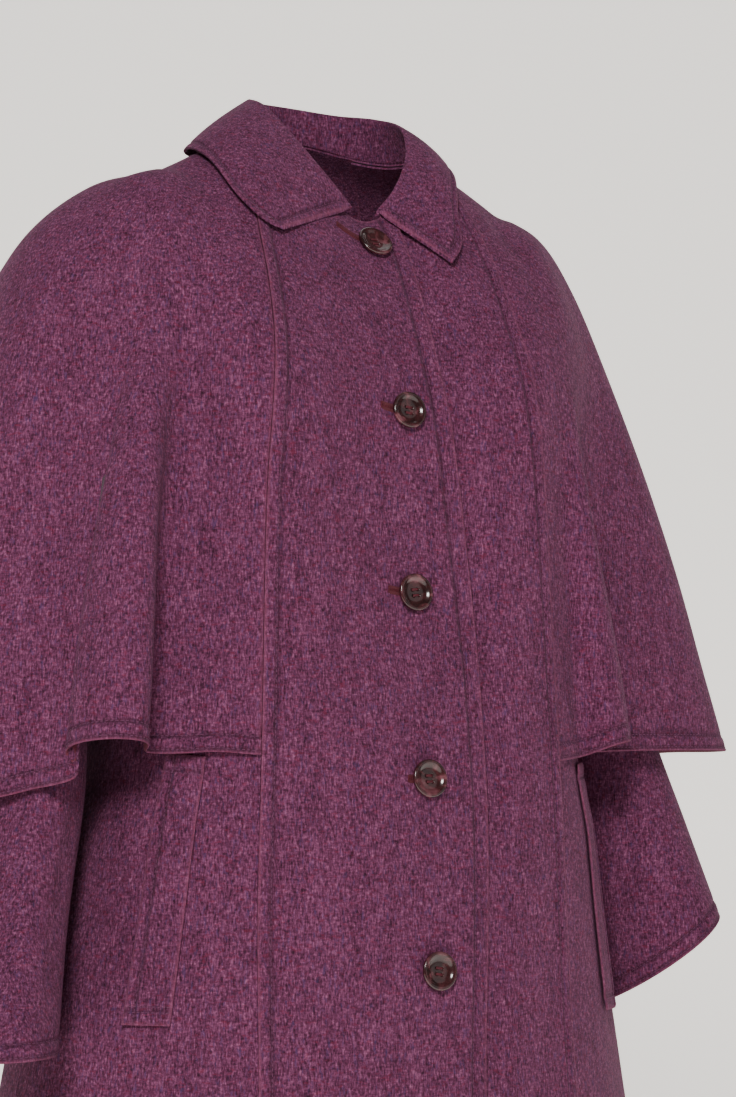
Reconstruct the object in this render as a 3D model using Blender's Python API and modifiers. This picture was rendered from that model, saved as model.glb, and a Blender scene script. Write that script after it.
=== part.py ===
# Cape coat: a flared wool coat with a cape set into its princess seams.
# Metres, +Z up, the front towards -Y and the wearer's left towards +X. The origin is on the
# neck axis, at the height where the neckline meets the shoulder seams.
import math

import bmesh
import bpy
import numpy as np

# Driving sizes
CLOTH = 0.0025
SEAM_GAP = 0.0006
LAYER_STEP = 0.0034
FIRST_BUTTON_Z = -0.092
BUTTON_SPACING = 0.1365
BUTTON_COUNT = 6
BUTTON_DIAMETER = 0.028
BUTTON_THICKNESS = 0.0046
WELT_BAND = 0.011
WELT_RAISE = 0.0012
CAPE_HEM_SECTION = 8.75
HEM_SECTION = 13.0
SKIRT_SECTIONS = (7.0, 8.0, 8.9, 9.15, 9.45, 10.0, 10.64, 11.4, 12.2, 13.0)


def table(columns, *rows):
    """Named columns of one short table, as arrays."""
    return dict(zip(columns.split(), np.array(rows, float).T))


# Rings of the coat from the neckline (s 0) over the shoulder tips (s 3), the underarms (s 6)
# and the waist (s 8) to the hem (s 13). front_y and back_y are where a ring crosses the
# centre lines, and square is the power of its superellipse.
BODY = table(
    "s side_z front_z back_z half_width front_y back_y centre_y front_square back_square bust",
    (0, 0.000, -0.070, 0.018, 0.075, -0.043, 0.072, 0.010, 2.0, 2.0, 0.000),
    (1, -0.017, -0.100, 0.004, 0.112, -0.064, 0.096, 0.016, 2.0, 2.0, 0.000),
    (2, -0.037, -0.145, -0.028, 0.150, -0.086, 0.118, 0.024, 2.1, 2.0, 0.000),
    (3, -0.058, -0.195, -0.075, 0.184, -0.102, 0.134, 0.036, 2.4, 2.1, 0.004),
    (4, -0.102, -0.240, -0.130, 0.192, -0.110, 0.142, 0.036, 2.8, 2.3, 0.011),
    (5, -0.155, -0.285, -0.190, 0.190, -0.112, 0.144, 0.034, 3.0, 2.4, 0.014),
    (6, -0.215, -0.330, -0.245, 0.185, -0.114, 0.140, 0.030, 3.0, 2.4, 0.014),
    (7, -0.300, -0.380, -0.315, 0.185, -0.119, 0.134, 0.026, 3.0, 2.4, 0.011),
    (8, -0.400, -0.440, -0.405, 0.190, -0.128, 0.132, 0.022, 2.9, 2.4, 0.006),
    (9, -0.500, -0.515, -0.502, 0.203, -0.138, 0.138, 0.020, 2.6, 2.4, 0.002),
    (10, -0.600, -0.605, -0.600, 0.225, -0.146, 0.148, 0.018, 2.2, 2.4, 0.000),
    (11, -0.720, -0.722, -0.720, 0.250, -0.156, 0.160, 0.016, 1.95, 2.4, 0.000),
    (12, -0.880, -0.882, -0.880, 0.274, -0.168, 0.176, 0.014, 1.95, 2.3, 0.000),
    (13, -1.058, -1.060, -1.058, 0.290, -0.182, 0.194, 0.012, 2.0, 2.2, 0.000),
)
BUST_ANGLE = math.radians(39)
BUST_SPREAD = math.radians(17)

# Distance of the princess seams from the centre line.
SEAMS = table(
    "s overlap front_x back_x",
    (0, 0.026, 0.070, 0.048),
    (1, 0.028, 0.090, 0.066),
    (2, 0.029, 0.101, 0.082),
    (3, 0.032, 0.106, 0.094),
    (4, 0.037, 0.111, 0.100),
    (6, 0.046, 0.119, 0.100),
    (8, 0.051, 0.124, 0.096),
    (10, 0.047, 0.130, 0.104),
    (11, 0.038, 0.132, 0.112),
    (13, 0.036, 0.148, 0.134),
)

# Armhole edge, as angles round the neck axis from the centre front.
ARMHOLE = table(
    "s front_deg back_deg",
    (3.00, 90, 90),
    (3.12, 80, 99),
    (3.40, 71, 106),
    (4.00, 64, 112),
    (4.60, 62, 114),
    (5.20, 64, 113),
    (5.70, 72, 106),
    (5.92, 81, 98),
    (6.00, 90, 90),
)

# Stand-off of the capes from the coat beyond the shoulder tips, at places along from the front
# seam (0) to the back seam (1), and the height of a section over the arm.
CAPE_PLACES = (0.0, 0.12, 0.26, 0.36, 0.55, 0.75, 1.0)
CAPE_HEIGHT_SHARE = (0.0, 0.05, 0.4, 0.85, 1.0, 0.7, 0.0)
CAPE_RIGHT = table(
    "s side_z front crease arm_front arm arm_back",
    (2, -0.037, 0.000, 0.000, 0.000, 0.000, 0.000),
    (3, -0.053, 0.001, 0.003, 0.005, 0.014, 0.007),
    (4, -0.094, 0.002, 0.006, 0.024, 0.052, 0.040),
    (5, -0.155, 0.003, 0.010, 0.050, 0.082, 0.080),
    (6, -0.235, 0.005, 0.020, 0.070, 0.109, 0.111),
    (7, -0.328, 0.007, 0.029, 0.084, 0.127, 0.131),
    (8, -0.426, 0.007, 0.032, 0.098, 0.136, 0.140),
    (9, -0.556, 0.007, 0.030, 0.100, 0.137, 0.144),
)
CAPE_LEFT = table(
    "s side_z front crease arm_front arm arm_back",
    (2, -0.037, 0.000, 0.000, 0.000, 0.000, 0.000),
    (3, -0.056, 0.001, 0.001, 0.003, 0.008, 0.004),
    (4, -0.098, 0.002, 0.008, 0.018, 0.030, 0.030),
    (5, -0.165, 0.003, 0.020, 0.046, 0.064, 0.058),
    (6, -0.245, 0.004, 0.026, 0.078, 0.100, 0.082),
    (7, -0.333, 0.004, 0.028, 0.104, 0.128, 0.108),
    (8, -0.418, 0.004, 0.030, 0.122, 0.146, 0.124),
    (9, -0.488, 0.004, 0.026, 0.132, 0.155, 0.132),
)

# Flutes of the capes. along is the place between the front seam and the back seam, half the half
# width there, depth how far it stands out, lean how far its head leans to the centre front and
# overhang how far it swells over its neck, lift how much its hem rises, start where it begins.
FLUTES_RIGHT = table(
    "along half depth lean overhang lift start",
    (0.242, 0.060, 0.052, 0.010, 0.016, 0.016, 2.8),
    (0.560, 0.090, 0.012, 0.000, 0.000, 0.002, 4.5),
    (0.840, 0.070, 0.034, 0.000, 0.004, 0.008, 3.6),
)
FLUTES_LEFT = table(
    "along half depth lean overhang lift start",
    (0.135, 0.050, 0.036, -0.006, 0.008, 0.012, 4.2),
    (0.560, 0.090, 0.010, 0.000, 0.000, 0.002, 4.5),
    (0.830, 0.070, 0.036, 0.000, 0.004, 0.008, 3.6),
)

# Sleeve sections below the sleeve head. rise_out and rise_front lift the outer and the front
# side of a section above its centre.
SLEEVE_RIGHT = table(
    "z centre_x centre_y half_out half_front rise_out rise_front",
    (-0.260, 0.228, 0.046, 0.034, 0.054, 0.014, 0.000),
    (-0.380, 0.243, 0.034, 0.039, 0.060, 0.006, 0.000),
    (-0.500, 0.253, 0.012, 0.042, 0.066, 0.002, 0.000),
    (-0.600, 0.277, -0.004, 0.046, 0.072, 0.000, 0.000),
    (-0.694, 0.301, -0.030, 0.049, 0.086, -0.002, 0.002),
)
SLEEVE_LEFT = table(
    "z centre_x centre_y half_out half_front rise_out rise_front",
    (-0.270, 0.216, 0.040, 0.034, 0.054, 0.010, 0.000),
    (-0.370, 0.238, 0.036, 0.039, 0.060, 0.016, 0.003),
    (-0.470, 0.253, 0.026, 0.043, 0.066, 0.020, 0.007),
    (-0.555, 0.270, 0.014, 0.048, 0.073, 0.026, 0.013),
    (-0.641, 0.290, 0.000, 0.048, 0.079, 0.034, 0.018),
)

# Collar stations from the centre front end (q 0) to the centre back (q 1), right side. roll is
# the fold line, and the outer edge of the fall lies on the coat at edge_s and edge_deg. The
# collar sits a little to the right: lean_s and lean_deg are added there and taken off the left.
COLLAR = table(
    "q neck_deg roll_x roll_y roll_z edge_s edge_deg lean_s lean_deg bow",
    (0.00, 13, 0.0120, -0.0455, -0.062, 1.90, 37.8, 0.12, 5.2, 0.000),
    (0.14, 28, 0.029, -0.042, -0.042, 1.90, 44.0, 0.22, 4.0, 0.002),
    (0.30, 52, 0.049, -0.026, -0.010, 1.60, 54.0, 0.40, 3.0, 0.004),
    (0.46, 80, 0.061, 0.001, 0.021, 1.14, 73.0, 0.34, 1.0, 0.004),
    (0.64, 112, 0.058, 0.036, 0.037, 0.90, 103.0, 0.16, 0.0, 0.003),
    (0.82, 145, 0.036, 0.063, 0.044, 0.84, 140.0, 0.05, 0.0, 0.003),
    (1.00, 180, 0.000, 0.072, 0.047, 0.86, 180.0, 0.00, 0.0, 0.003),
)
COLLAR_REST = 0.0044
COLLAR_FOOT = 0.0020

# Pocket welt on the side front: its end sections, and the angles of its two sides there.
SLEEVE_HEAD = 0.06
WELT_TOP_S, WELT_BOTTOM_S = 8.80, 10.64
WELT_TOP_FROM, WELT_TOP_TO = 53.5, 62.5
WELT_BOTTOM_FROM, WELT_BOTTOM_TO = 58.8, 67.5


def smooth(at, knots, values):
    """Cubic curve through the knots, with slopes from their neighbours."""
    at = np.clip(at, knots[0], knots[-1])
    slopes = np.gradient(values, knots)
    low = np.clip(np.searchsorted(knots, at) - 1, 0, len(knots) - 2)
    step = knots[low + 1] - knots[low]
    u = (at - knots[low]) / step
    return (
        (2 * u**3 - 3 * u**2 + 1) * values[low]
        + (u**3 - 2 * u**2 + u) * step * slopes[low]
        + (3 * u**2 - 2 * u**3) * values[low + 1]
        + (u**3 - u**2) * step * slopes[low + 1]
    )


def ease(value, low, high):
    """0 below low, 1 above high, smooth between."""
    u = np.clip((value - low) / (high - low), 0.0, 1.0)
    return u * u * (3 - 2 * u)


def body_point(s, angle):
    """Outer face of the coat at section s and an angle from the centre front towards +X."""
    s, angle = np.broadcast_arrays(np.asarray(s, float), np.asarray(angle, float))
    at = {name: smooth(s, BODY["s"], values) for name, values in BODY.items()}
    sine, cosine = np.sin(angle), np.cos(angle)
    front = cosine > 0
    depth = np.where(front, at["centre_y"] - at["front_y"], at["back_y"] - at["centre_y"])
    end_z = np.where(front, at["front_z"], at["back_z"])
    power = np.where(front, at["front_square"], at["back_square"])
    radius = (np.abs(cosine) / depth) ** power + (np.abs(sine) / at["half_width"]) ** power
    turned = np.arctan2(np.abs(sine), cosine)
    bust = at["bust"] * np.exp(-(((turned - BUST_ANGLE) / BUST_SPREAD) ** 2))
    radius = radius ** (-1 / power) + bust
    z = at["side_z"] + (end_z - at["side_z"]) * cosine**2
    return np.stack([radius * sine, at["centre_y"] - radius * cosine, z], -1)


def normals_of(surface, s, angle):
    """Outward unit normals of a surface given as a function of section and angle."""
    step = 1e-3
    down = surface(s + step, angle) - surface(s - step, angle)
    round_ = surface(s, angle + step) - surface(s, angle - step)
    normal = np.cross(down, round_)
    return normal / np.linalg.norm(normal, axis=-1, keepdims=True)


def body_offset(s, angle, out):
    """The coat's outer face moved out by a distance along its normal."""
    inside = np.clip(s, 0.002, HEM_SECTION - 0.002)
    normal = normals_of(body_point, inside, angle)
    return body_point(s, angle) + normal * np.asarray(out)[..., None]


def angle_at(s, x, front=True):
    """Angle at which the ring of section s is a distance x to the side of the centre line."""
    s, x = np.broadcast_arrays(np.asarray(s, float), np.asarray(x, float))
    low = np.zeros(s.shape)
    high = np.full(s.shape, math.pi / 2)
    for _ in range(30):
        middle = (low + high) / 2
        reached = body_point(s, middle if front else math.pi - middle)[..., 0] > x
        high = np.where(reached, middle, high)
        low = np.where(reached, low, middle)
    return (low + high) / 2 if front else math.pi - (low + high) / 2


def front_seam(s):
    return angle_at(s, smooth(s, SEAMS["s"], SEAMS["front_x"]))


def back_seam(s):
    return angle_at(s, smooth(s, SEAMS["s"], SEAMS["back_x"]), front=False)


def gap_angle(s, angle):
    """Half a seam gap, as an angle at this place."""
    point = body_point(s, angle)
    centre = smooth(s, BODY["s"], BODY["centre_y"])
    return 0.5 * SEAM_GAP / np.hypot(point[..., 0], point[..., 1] - centre)


def cape_point(side, s, along):
    """Outer face of a cape at the section s of its front seam, along from front to back seam."""
    s, along = np.broadcast_arrays(np.asarray(s, float), np.asarray(along, float))
    sections = CAPE_RIGHT if side < 0 else CAPE_LEFT
    flutes = FLUTES_RIGHT if side < 0 else FLUTES_LEFT
    first, last = front_seam(s), back_seam(s)
    spread = last - first
    centre = smooth(s, BODY["s"], BODY["centre_y"])
    beyond = ease(s, 1.8, 2.4)
    arm_z = smooth(s, sections["s"], sections["side_z"])
    names = (None, "front", "crease", "arm_front", "arm", "arm_back", None)
    radii, heights = [], []
    for place, name, share in zip(CAPE_PLACES, names, CAPE_HEIGHT_SHARE):
        on_body = body_point(s, side * (first + spread * place))
        radius = np.hypot(on_body[..., 0], on_body[..., 1] - centre)
        if name:
            radius = radius + beyond * smooth(s, sections["s"], sections[name])
        radii.append(radius)
        heights.append(on_body[..., 2] + beyond * share * (arm_z - on_body[..., 2]))
    radius = spline_columns(along, CAPE_PLACES, radii)
    z = spline_columns(along, CAPE_PLACES, heights)
    shift = np.zeros(s.shape)
    for place, half, depth, lean, overhang, lift, start in zip(*flutes.values()):
        u = (along - place) / half
        grow = ease(s, start, CAPE_HEM_SECTION + 0.6)
        low = ease(s, start + 2, CAPE_HEM_SECTION)
        bump = np.exp(-(u**2) * 1.6)
        radius = radius + depth * grow * bump
        z = z + lift * low * bump
        sway = np.where(np.abs(u) < 1.5, np.sin(math.pi * u / 0.75), 0.0)
        shift = shift + low * (overhang * sway - lean * bump)
    angle = first + spread * along + shift / radius
    return np.stack([side * radius * np.sin(angle), centre - radius * np.cos(angle), z], -1)


def spline_columns(along, knots, values):
    """Cubic curve through values that are arrays, one for each knot."""
    knots = np.asarray(knots, float)
    stack = np.stack(values, 0)
    slopes = np.gradient(stack, knots, axis=0)
    low = np.clip(np.searchsorted(knots, along) - 1, 0, len(knots) - 2)
    step = knots[low + 1] - knots[low]
    u = (along - knots[low]) / step

    def pick(array, index):
        return np.take_along_axis(array, index[None, ...], 0)[0]

    return (
        (2 * u**3 - 3 * u**2 + 1) * pick(stack, low)
        + (u**3 - 2 * u**2 + u) * step * pick(slopes, low)
        + (3 * u**2 - 2 * u**3) * pick(stack, low + 1)
        + (u**3 - u**2) * step * pick(slopes, low + 1)
    )


def grid_normals(points, closed):
    """Normals of a grid of points, rows down and columns round, pointing out."""
    down = np.gradient(points, axis=0)
    if closed:
        round_ = np.roll(points, -1, axis=1) - np.roll(points, 1, axis=1)
    else:
        round_ = np.gradient(points, axis=1)
    normal = np.cross(down, round_)
    return normal / np.linalg.norm(normal, axis=-1, keepdims=True)


def make_object(name, vertices, faces, material, collection):
    mesh = bpy.data.meshes.new(name)
    mesh.from_pydata([tuple(v) for v in vertices], [], faces)
    mesh.materials.append(material)
    mesh.shade_smooth()
    mesh.set_sharp_from_angle(angle=math.radians(50))
    obj = bpy.data.objects.new(name, mesh)
    collection.objects.link(obj)
    return obj


def wall(name, outer, inner, material, collection, closed=False):
    """Closed wall between two grids. closed joins the last column to the first."""
    rows, columns = outer.shape[:2]
    vertices = np.concatenate([outer.reshape(-1, 3), inner.reshape(-1, 3)])
    count = rows * columns
    last = columns if closed else columns - 1

    def at(i, j, layer=0):
        return layer * count + i * columns + j % columns

    faces = []
    for i in range(rows - 1):
        for j in range(last):
            faces.append((at(i, j), at(i + 1, j), at(i + 1, j + 1), at(i, j + 1)))
            faces.append((at(i, j, 1), at(i, j + 1, 1), at(i + 1, j + 1, 1), at(i + 1, j, 1)))
    for j in range(last):
        faces.append((at(0, j), at(0, j + 1), at(0, j + 1, 1), at(0, j, 1)))
        faces.append((at(rows - 1, j), at(rows - 1, j, 1), at(rows - 1, j + 1, 1), at(rows - 1, j + 1)))
    if not closed:
        for i in range(rows - 1):
            faces.append((at(i, 0), at(i, 0, 1), at(i + 1, 0, 1), at(i + 1, 0)))
            end = columns - 1
            faces.append((at(i, end), at(i + 1, end), at(i + 1, end, 1), at(i, end, 1)))
    return make_object(name, vertices, faces, material, collection)


def body_panel(name, s_rows, angles, outs, material, collection):
    """Wall on the coat's own surface. angles and outs are grids over s_rows."""
    s = np.broadcast_to(s_rows[:, None], angles.shape)
    outer = body_offset(s, angles, outs)
    inner = body_offset(s, angles, outs - CLOTH)
    return wall(name, outer, inner, material, collection)


def rows_between(first, last, count):
    return np.linspace(first, last, count)


def spread_columns(first, last, places):
    """Grid of angles, each row from first to last at the given places from 0 to 1."""
    places = np.asarray(places, float)
    return first[:, None] * (1 - places) + last[:, None] * places


def front_panel(side, material, collection):
    """Centre front from the overlap edge to the princess seam, with its raised seam band."""
    s_rows = rows_between(0.0, HEM_SECTION, 19)
    seam = front_seam(s_rows) - gap_angle(s_rows, front_seam(s_rows))
    overlap = smooth(s_rows, SEAMS["s"], SEAMS["overlap"])
    edge = -angle_at(s_rows, overlap)
    point = body_point(s_rows, seam)
    centre = smooth(s_rows, BODY["s"], BODY["centre_y"])
    radius = np.hypot(point[:, 0], point[:, 1] - centre)
    band = seam - WELT_BAND / radius
    foot = seam - (WELT_BAND + 0.0015) / radius
    main = spread_columns(edge, foot, np.linspace(0, 1, 8))
    angles = np.concatenate([main, band[:, None], seam[:, None]], axis=1)
    outs = np.zeros(angles.shape)
    outs[:, -2:] = WELT_RAISE
    if side > 0:
        x = body_point(np.broadcast_to(s_rows[:, None], angles.shape), angles)[..., 0]
        beyond = x - overlap[:, None]
        outs -= LAYER_STEP * (1 - ease(beyond, 0.004, 0.030))
    if side < 0:
        angles, outs = -angles[:, ::-1], outs[:, ::-1]
    name = "front_right" if side < 0 else "front_left"
    return body_panel(name, s_rows, angles, outs, material, collection)


def under_cape(s):
    """How far the panels under the capes lie inside the coat's outer face."""
    return -(LAYER_STEP - 0.0002) * (1 - ease(s, CAPE_HEM_SECTION + 0.15, CAPE_HEM_SECTION + 0.7))


def side_panel(side, front, material, collection):
    """Side front or side back, cut away round the armhole."""
    s_rows = np.concatenate(
        [
            rows_between(0.0, 3.0, 5)[:-1],
            ARMHOLE["s"],
            SKIRT_SECTIONS,
        ]
    )
    name = "front_deg" if front else "back_deg"
    end = np.interp(s_rows, ARMHOLE["s"], np.radians(ARMHOLE[name]))
    seam = front_seam(s_rows) if front else back_seam(s_rows)
    half_gap = gap_angle(s_rows, seam)
    if front:
        angles = spread_columns(seam + half_gap, end - half_gap, np.linspace(0, 1, 6))
    else:
        angles = spread_columns(end + half_gap, seam - half_gap, np.linspace(0, 1, 6))
    outs = np.broadcast_to(under_cape(s_rows)[:, None], angles.shape)
    if side < 0:
        angles = -angles[:, ::-1]
    part = "side_front_" if front else "side_back_"
    name = part + ("right" if side < 0 else "left")
    return body_panel(name, s_rows, angles, outs, material, collection)


def back_panel(material, collection):
    s_rows = rows_between(0.0, HEM_SECTION, 16)
    seam = back_seam(s_rows)
    first = seam + gap_angle(s_rows, seam)
    angles = spread_columns(first, 2 * math.pi - first, np.linspace(0, 1, 11))
    outs = np.zeros(angles.shape)
    return body_panel("back", s_rows, angles, outs, material, collection)


def cape_panel(side, material, collection):
    s_rows = np.concatenate([rows_between(0.0, 3.0, 5), rows_between(3.6, CAPE_HEM_SECTION, 10)])
    fine = FLUTES_RIGHT if side < 0 else FLUTES_LEFT
    front_flute = fine["along"][0] + fine["half"][0] * np.linspace(-1.5, 1.5, 15)
    back_flute = fine["along"][2] + fine["half"][2] * np.linspace(-1.3, 1.3, 11)
    middle = np.linspace(front_flute[-1], back_flute[0], 9)[1:-1]
    before = np.linspace(0.0015, front_flute[0], 4)[:-1] if side < 0 else [0.0015]
    places = np.concatenate([before, front_flute, middle, back_flute, [0.965, 0.9985]])
    s, along = np.meshgrid(s_rows, places, indexing="ij")
    outer = cape_point(side, s, along)
    if side < 0:
        outer = outer[:, ::-1]
    normal = grid_normals(outer, closed=False)
    name = "cape_right" if side < 0 else "cape_left"
    return wall(name, outer, outer - normal * CLOTH, material, collection)


def armhole_loop(side, out, count):
    """Points round an armhole from the shoulder tip by the front to the underarm and back."""
    half = count // 2
    knots = ARMHOLE["s"]
    spots = 0.5 - 0.5 * np.cos(np.linspace(0, math.pi, half + 1))
    s = knots[0] + (knots[-1] - knots[0]) * spots
    front = np.interp(s, knots, np.radians(ARMHOLE["front_deg"]))
    back = np.interp(s, knots, np.radians(ARMHOLE["back_deg"]))
    s_loop = np.concatenate([s, s[-2:0:-1]])
    angle = np.concatenate([front, back[-2:0:-1]])
    return body_offset(s_loop, side * angle, np.full(s_loop.shape, out))


def sleeve_ring(side, z, count):
    """One section of a sleeve from its outer side by the front and the inner side."""
    sections = SLEEVE_RIGHT if side < 0 else SLEEVE_LEFT
    knots = -sections["z"]
    at = {name: smooth(-z, knots, values) for name, values in sections.items()}
    theta = np.linspace(0, 2 * math.pi, count, endpoint=False)
    x = at["centre_x"] + at["half_out"] * np.cos(theta)
    y = at["centre_y"] - at["half_front"] * np.sin(theta)
    height = z + at["rise_out"] * np.cos(theta) + at["rise_front"] * np.sin(theta)
    return np.stack([side * x, y, height], -1)


def sleeve(side, material, collection):
    """Sleeve head swung out of the armhole, then a bell down to the hem."""
    count = 22
    sections = SLEEVE_RIGHT if side < 0 else SLEEVE_LEFT
    top, bottom = sections["z"][0], sections["z"][-1]
    hole = armhole_loop(side, under_cape(4.0), count)
    out = np.array([side, 0.0, 0.0])
    hole = hole + out * SEAM_GAP * 2
    first = sleeve_ring(side, top, count)
    reach = np.linalg.norm(first - hole, axis=-1, keepdims=True)
    rows = []
    for t in (0.0, 0.2, 0.42, 0.7):
        lead = hole + out * reach * SLEEVE_HEAD
        arrive = first + np.array([0, 0, 1.0]) * reach * 0.36
        curve = (1 - t) ** 3 * hole + 3 * (1 - t) ** 2 * t * lead
        curve = curve + 3 * (1 - t) * t**2 * arrive + t**3 * first
        rows.append(curve)
    for z in np.linspace(top, bottom, 7):
        rows.append(sleeve_ring(side, z, count))
    outer = np.stack(rows)
    if side > 0:
        outer = outer[:, ::-1]
    normal = grid_normals(outer, closed=True)
    name = "sleeve_right" if side < 0 else "sleeve_left"
    return wall(name, outer, outer - normal * CLOTH, material, collection, closed=True)


def collar(material, collection):
    """Stand and fall as one folded wall, lofted from end to end through the back."""
    quarter = np.linspace(0, 1, 13)
    sides = [(-1, q) for q in quarter] + [(1, q) for q in quarter[-2::-1]]
    stations = []
    for side, q in sides:
        at = {name: smooth(q, COLLAR["q"], values) for name, values in COLLAR.items()}
        foot = body_point(0.0, math.radians(at["neck_deg"])) + np.array([0, 0, COLLAR_FOOT])
        roll = np.array([at["roll_x"], at["roll_y"], at["roll_z"]])
        angle = np.radians(at["edge_deg"] - side * at["lean_deg"])
        section = np.array(at["edge_s"] - side * at["lean_s"])
        edge = body_offset(section, angle, COLLAR_REST + CLOTH / 2)
        stations.append(collar_section(foot, roll, edge, at["bow"]) * np.array([side, 1, 1]))
    return loft("collar", stations, material, collection)


def collar_section(foot, roll, edge, bow):
    """Closed outline of the collar at one station: up the stand, over the fold, down the fall."""
    away = edge - roll
    level = np.array([away[0], away[1], 0.0])
    level = level / np.linalg.norm(level)
    up = np.array([0, 0, 1.0])
    fall = away / np.linalg.norm(away)
    face = np.cross(np.cross(fall, level), fall)
    face = face / np.linalg.norm(face) if np.linalg.norm(face) > 1e-6 else up
    face = face if face[2] > 0 else -face
    points = []
    stand = roll - foot
    for u in (0.0, 0.5, 0.92):
        points.append(foot + stand * u - level * (CLOTH * 0.5))
    points.append(roll - level * CLOTH * 0.4 + face * CLOTH * 0.7)
    for u in (0.12, 0.4, 0.7, 1.0):
        points.append(roll + away * u + face * (CLOTH * 0.6 + bow * 4 * u * (1 - u)))
    for u in (1.0, 0.7, 0.4, 0.12):
        points.append(roll + away * u + face * (-CLOTH * 0.4 + bow * 4 * u * (1 - u)))
    for u in (0.80, 0.4, 0.0):
        points.append(foot + stand * u + level * (CLOTH * 0.5))
    return np.array(points)


def loft(name, stations, material, collection):
    count = len(stations[0])
    vertices = np.concatenate(stations)
    faces = []
    for i in range(len(stations) - 1):
        for j in range(count):
            k = (j + 1) % count
            faces.append((i * count + j, (i + 1) * count + j, (i + 1) * count + k, i * count + k))
    faces.append(tuple(range(count)))
    faces.append(tuple(reversed(range((len(stations) - 1) * count, len(stations) * count))))
    obj = make_object(name, vertices, faces, material, collection)
    tidy = bmesh.new()
    tidy.from_mesh(obj.data)
    bmesh.ops.recalc_face_normals(tidy, faces=tidy.faces)
    tidy.to_mesh(obj.data)
    tidy.free()
    return obj


def pocket_welt(side, material, collection):
    """Slanted welt lying on the side front, from its points moved out."""
    s_rows = np.array([WELT_TOP_S, *[s for s in SKIRT_SECTIONS if WELT_TOP_S < s <= WELT_BOTTOM_S]])
    places = (s_rows - WELT_TOP_S) / (WELT_BOTTOM_S - WELT_TOP_S)
    first = np.radians(WELT_TOP_FROM + (WELT_BOTTOM_FROM - WELT_TOP_FROM) * places)
    last = np.radians(WELT_TOP_TO + (WELT_BOTTOM_TO - WELT_TOP_TO) * places)
    angles = spread_columns(first, last, np.linspace(0, 1, 4))
    s = np.broadcast_to(s_rows[:, None], angles.shape)
    if side < 0:
        angles = -angles[:, ::-1]
    base = under_cape(s)
    outer = body_offset(s, angles, base + SEAM_GAP + CLOTH)
    inner = body_offset(s, angles, base + SEAM_GAP)
    name = "pocket_welt_right" if side < 0 else "pocket_welt_left"
    return wall(name, outer, inner, material, collection)


def section_at_height(z):
    """Section whose centre front is at this height."""
    low, high = 0.0, HEM_SECTION
    for _ in range(40):
        middle = (low + high) / 2
        if body_point(middle, 0.0)[2] < z:
            high = middle
        else:
            low = middle
    return (low + high) / 2


def button(number, material, collection):
    """Turned button with a raised rim, facing out of the front."""
    z = FIRST_BUTTON_Z - BUTTON_SPACING * (number - 1)
    s = section_at_height(z)
    place = body_point(s, 0.0)
    normal = normals_of(body_point, np.array(s), np.array(0.0))
    half = BUTTON_DIAMETER / 2
    thick = BUTTON_THICKNESS
    profile = (
        (0.0, thick * 0.52),
        (half * 0.60, thick * 0.55),
        (half * 0.76, thick * 0.92),
        (half * 0.88, thick),
        (half, thick * 0.70),
        (half * 0.97, thick * 0.35),
        (half * 0.55, 0.0),
        (0.0, 0.0),
    )
    mesh = bpy.data.meshes.new(f"button_{number}")
    mesh.from_pydata(
        [(x, 0, z) for x, z in profile],
        [(i, i + 1) for i in range(len(profile) - 1)],
        [],
    )
    mesh.materials.append(material)
    obj = bpy.data.objects.new(f"button_{number}", mesh)
    turn = obj.modifiers.new("turn", "SCREW")
    turn.steps = 18
    turn.render_steps = 18
    turn.use_merge_vertices = True
    turn.merge_threshold = 0.0001
    turn.use_smooth_shade = True
    collection.objects.link(obj)
    obj.rotation_mode = "QUATERNION"
    from_axis = bpy.data.objects[obj.name].matrix_world.to_3x3().col[2]
    obj.rotation_quaternion = from_axis.rotation_difference(normal.tolist())
    obj.location = place + normal * 0.0010
    return obj


def make_material(name, color, roughness):
    material = bpy.data.materials.new(name)
    material.use_nodes = True
    shader = material.node_tree.nodes["Principled BSDF"]
    shader.inputs["Base Color"].default_value = (*color, 1.0)
    shader.inputs["Roughness"].default_value = roughness
    shader.inputs["Metallic"].default_value = 0.0
    return material


def main():
    for obj in list(bpy.data.objects):
        bpy.data.objects.remove(obj, do_unlink=True)
    collection = bpy.data.collections.new("cape_coat")
    bpy.context.scene.collection.children.link(collection)
    wool_color = (0.16, 0.045, 0.12)
    button_color = (0.06, 0.02, 0.022)
    for side, word in ((-1, "right"), (1, "left")):
        front_panel(side, make_material(f"front_{word}_wool", wool_color, 0.95), collection)
        for front in (True, False):
            part = "side_front" if front else "side_back"
            wool = make_material(f"{part}_{word}_wool", wool_color, 0.95)
            side_panel(side, front, wool, collection)
        cape_panel(side, make_material(f"cape_{word}_wool", wool_color, 0.95), collection)
        sleeve(side, make_material(f"sleeve_{word}_wool", wool_color, 0.95), collection)
        pocket_welt(side, make_material(f"welt_{word}_wool", wool_color, 0.95), collection)
    back_panel(make_material("back_wool", wool_color, 0.95), collection)
    collar(make_material("collar_wool", wool_color, 0.95), collection)
    for number in range(1, BUTTON_COUNT + 1):
        button(number, make_material(f"button_{number}_gloss", button_color, 0.25), collection)


main()
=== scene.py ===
import math

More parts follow.
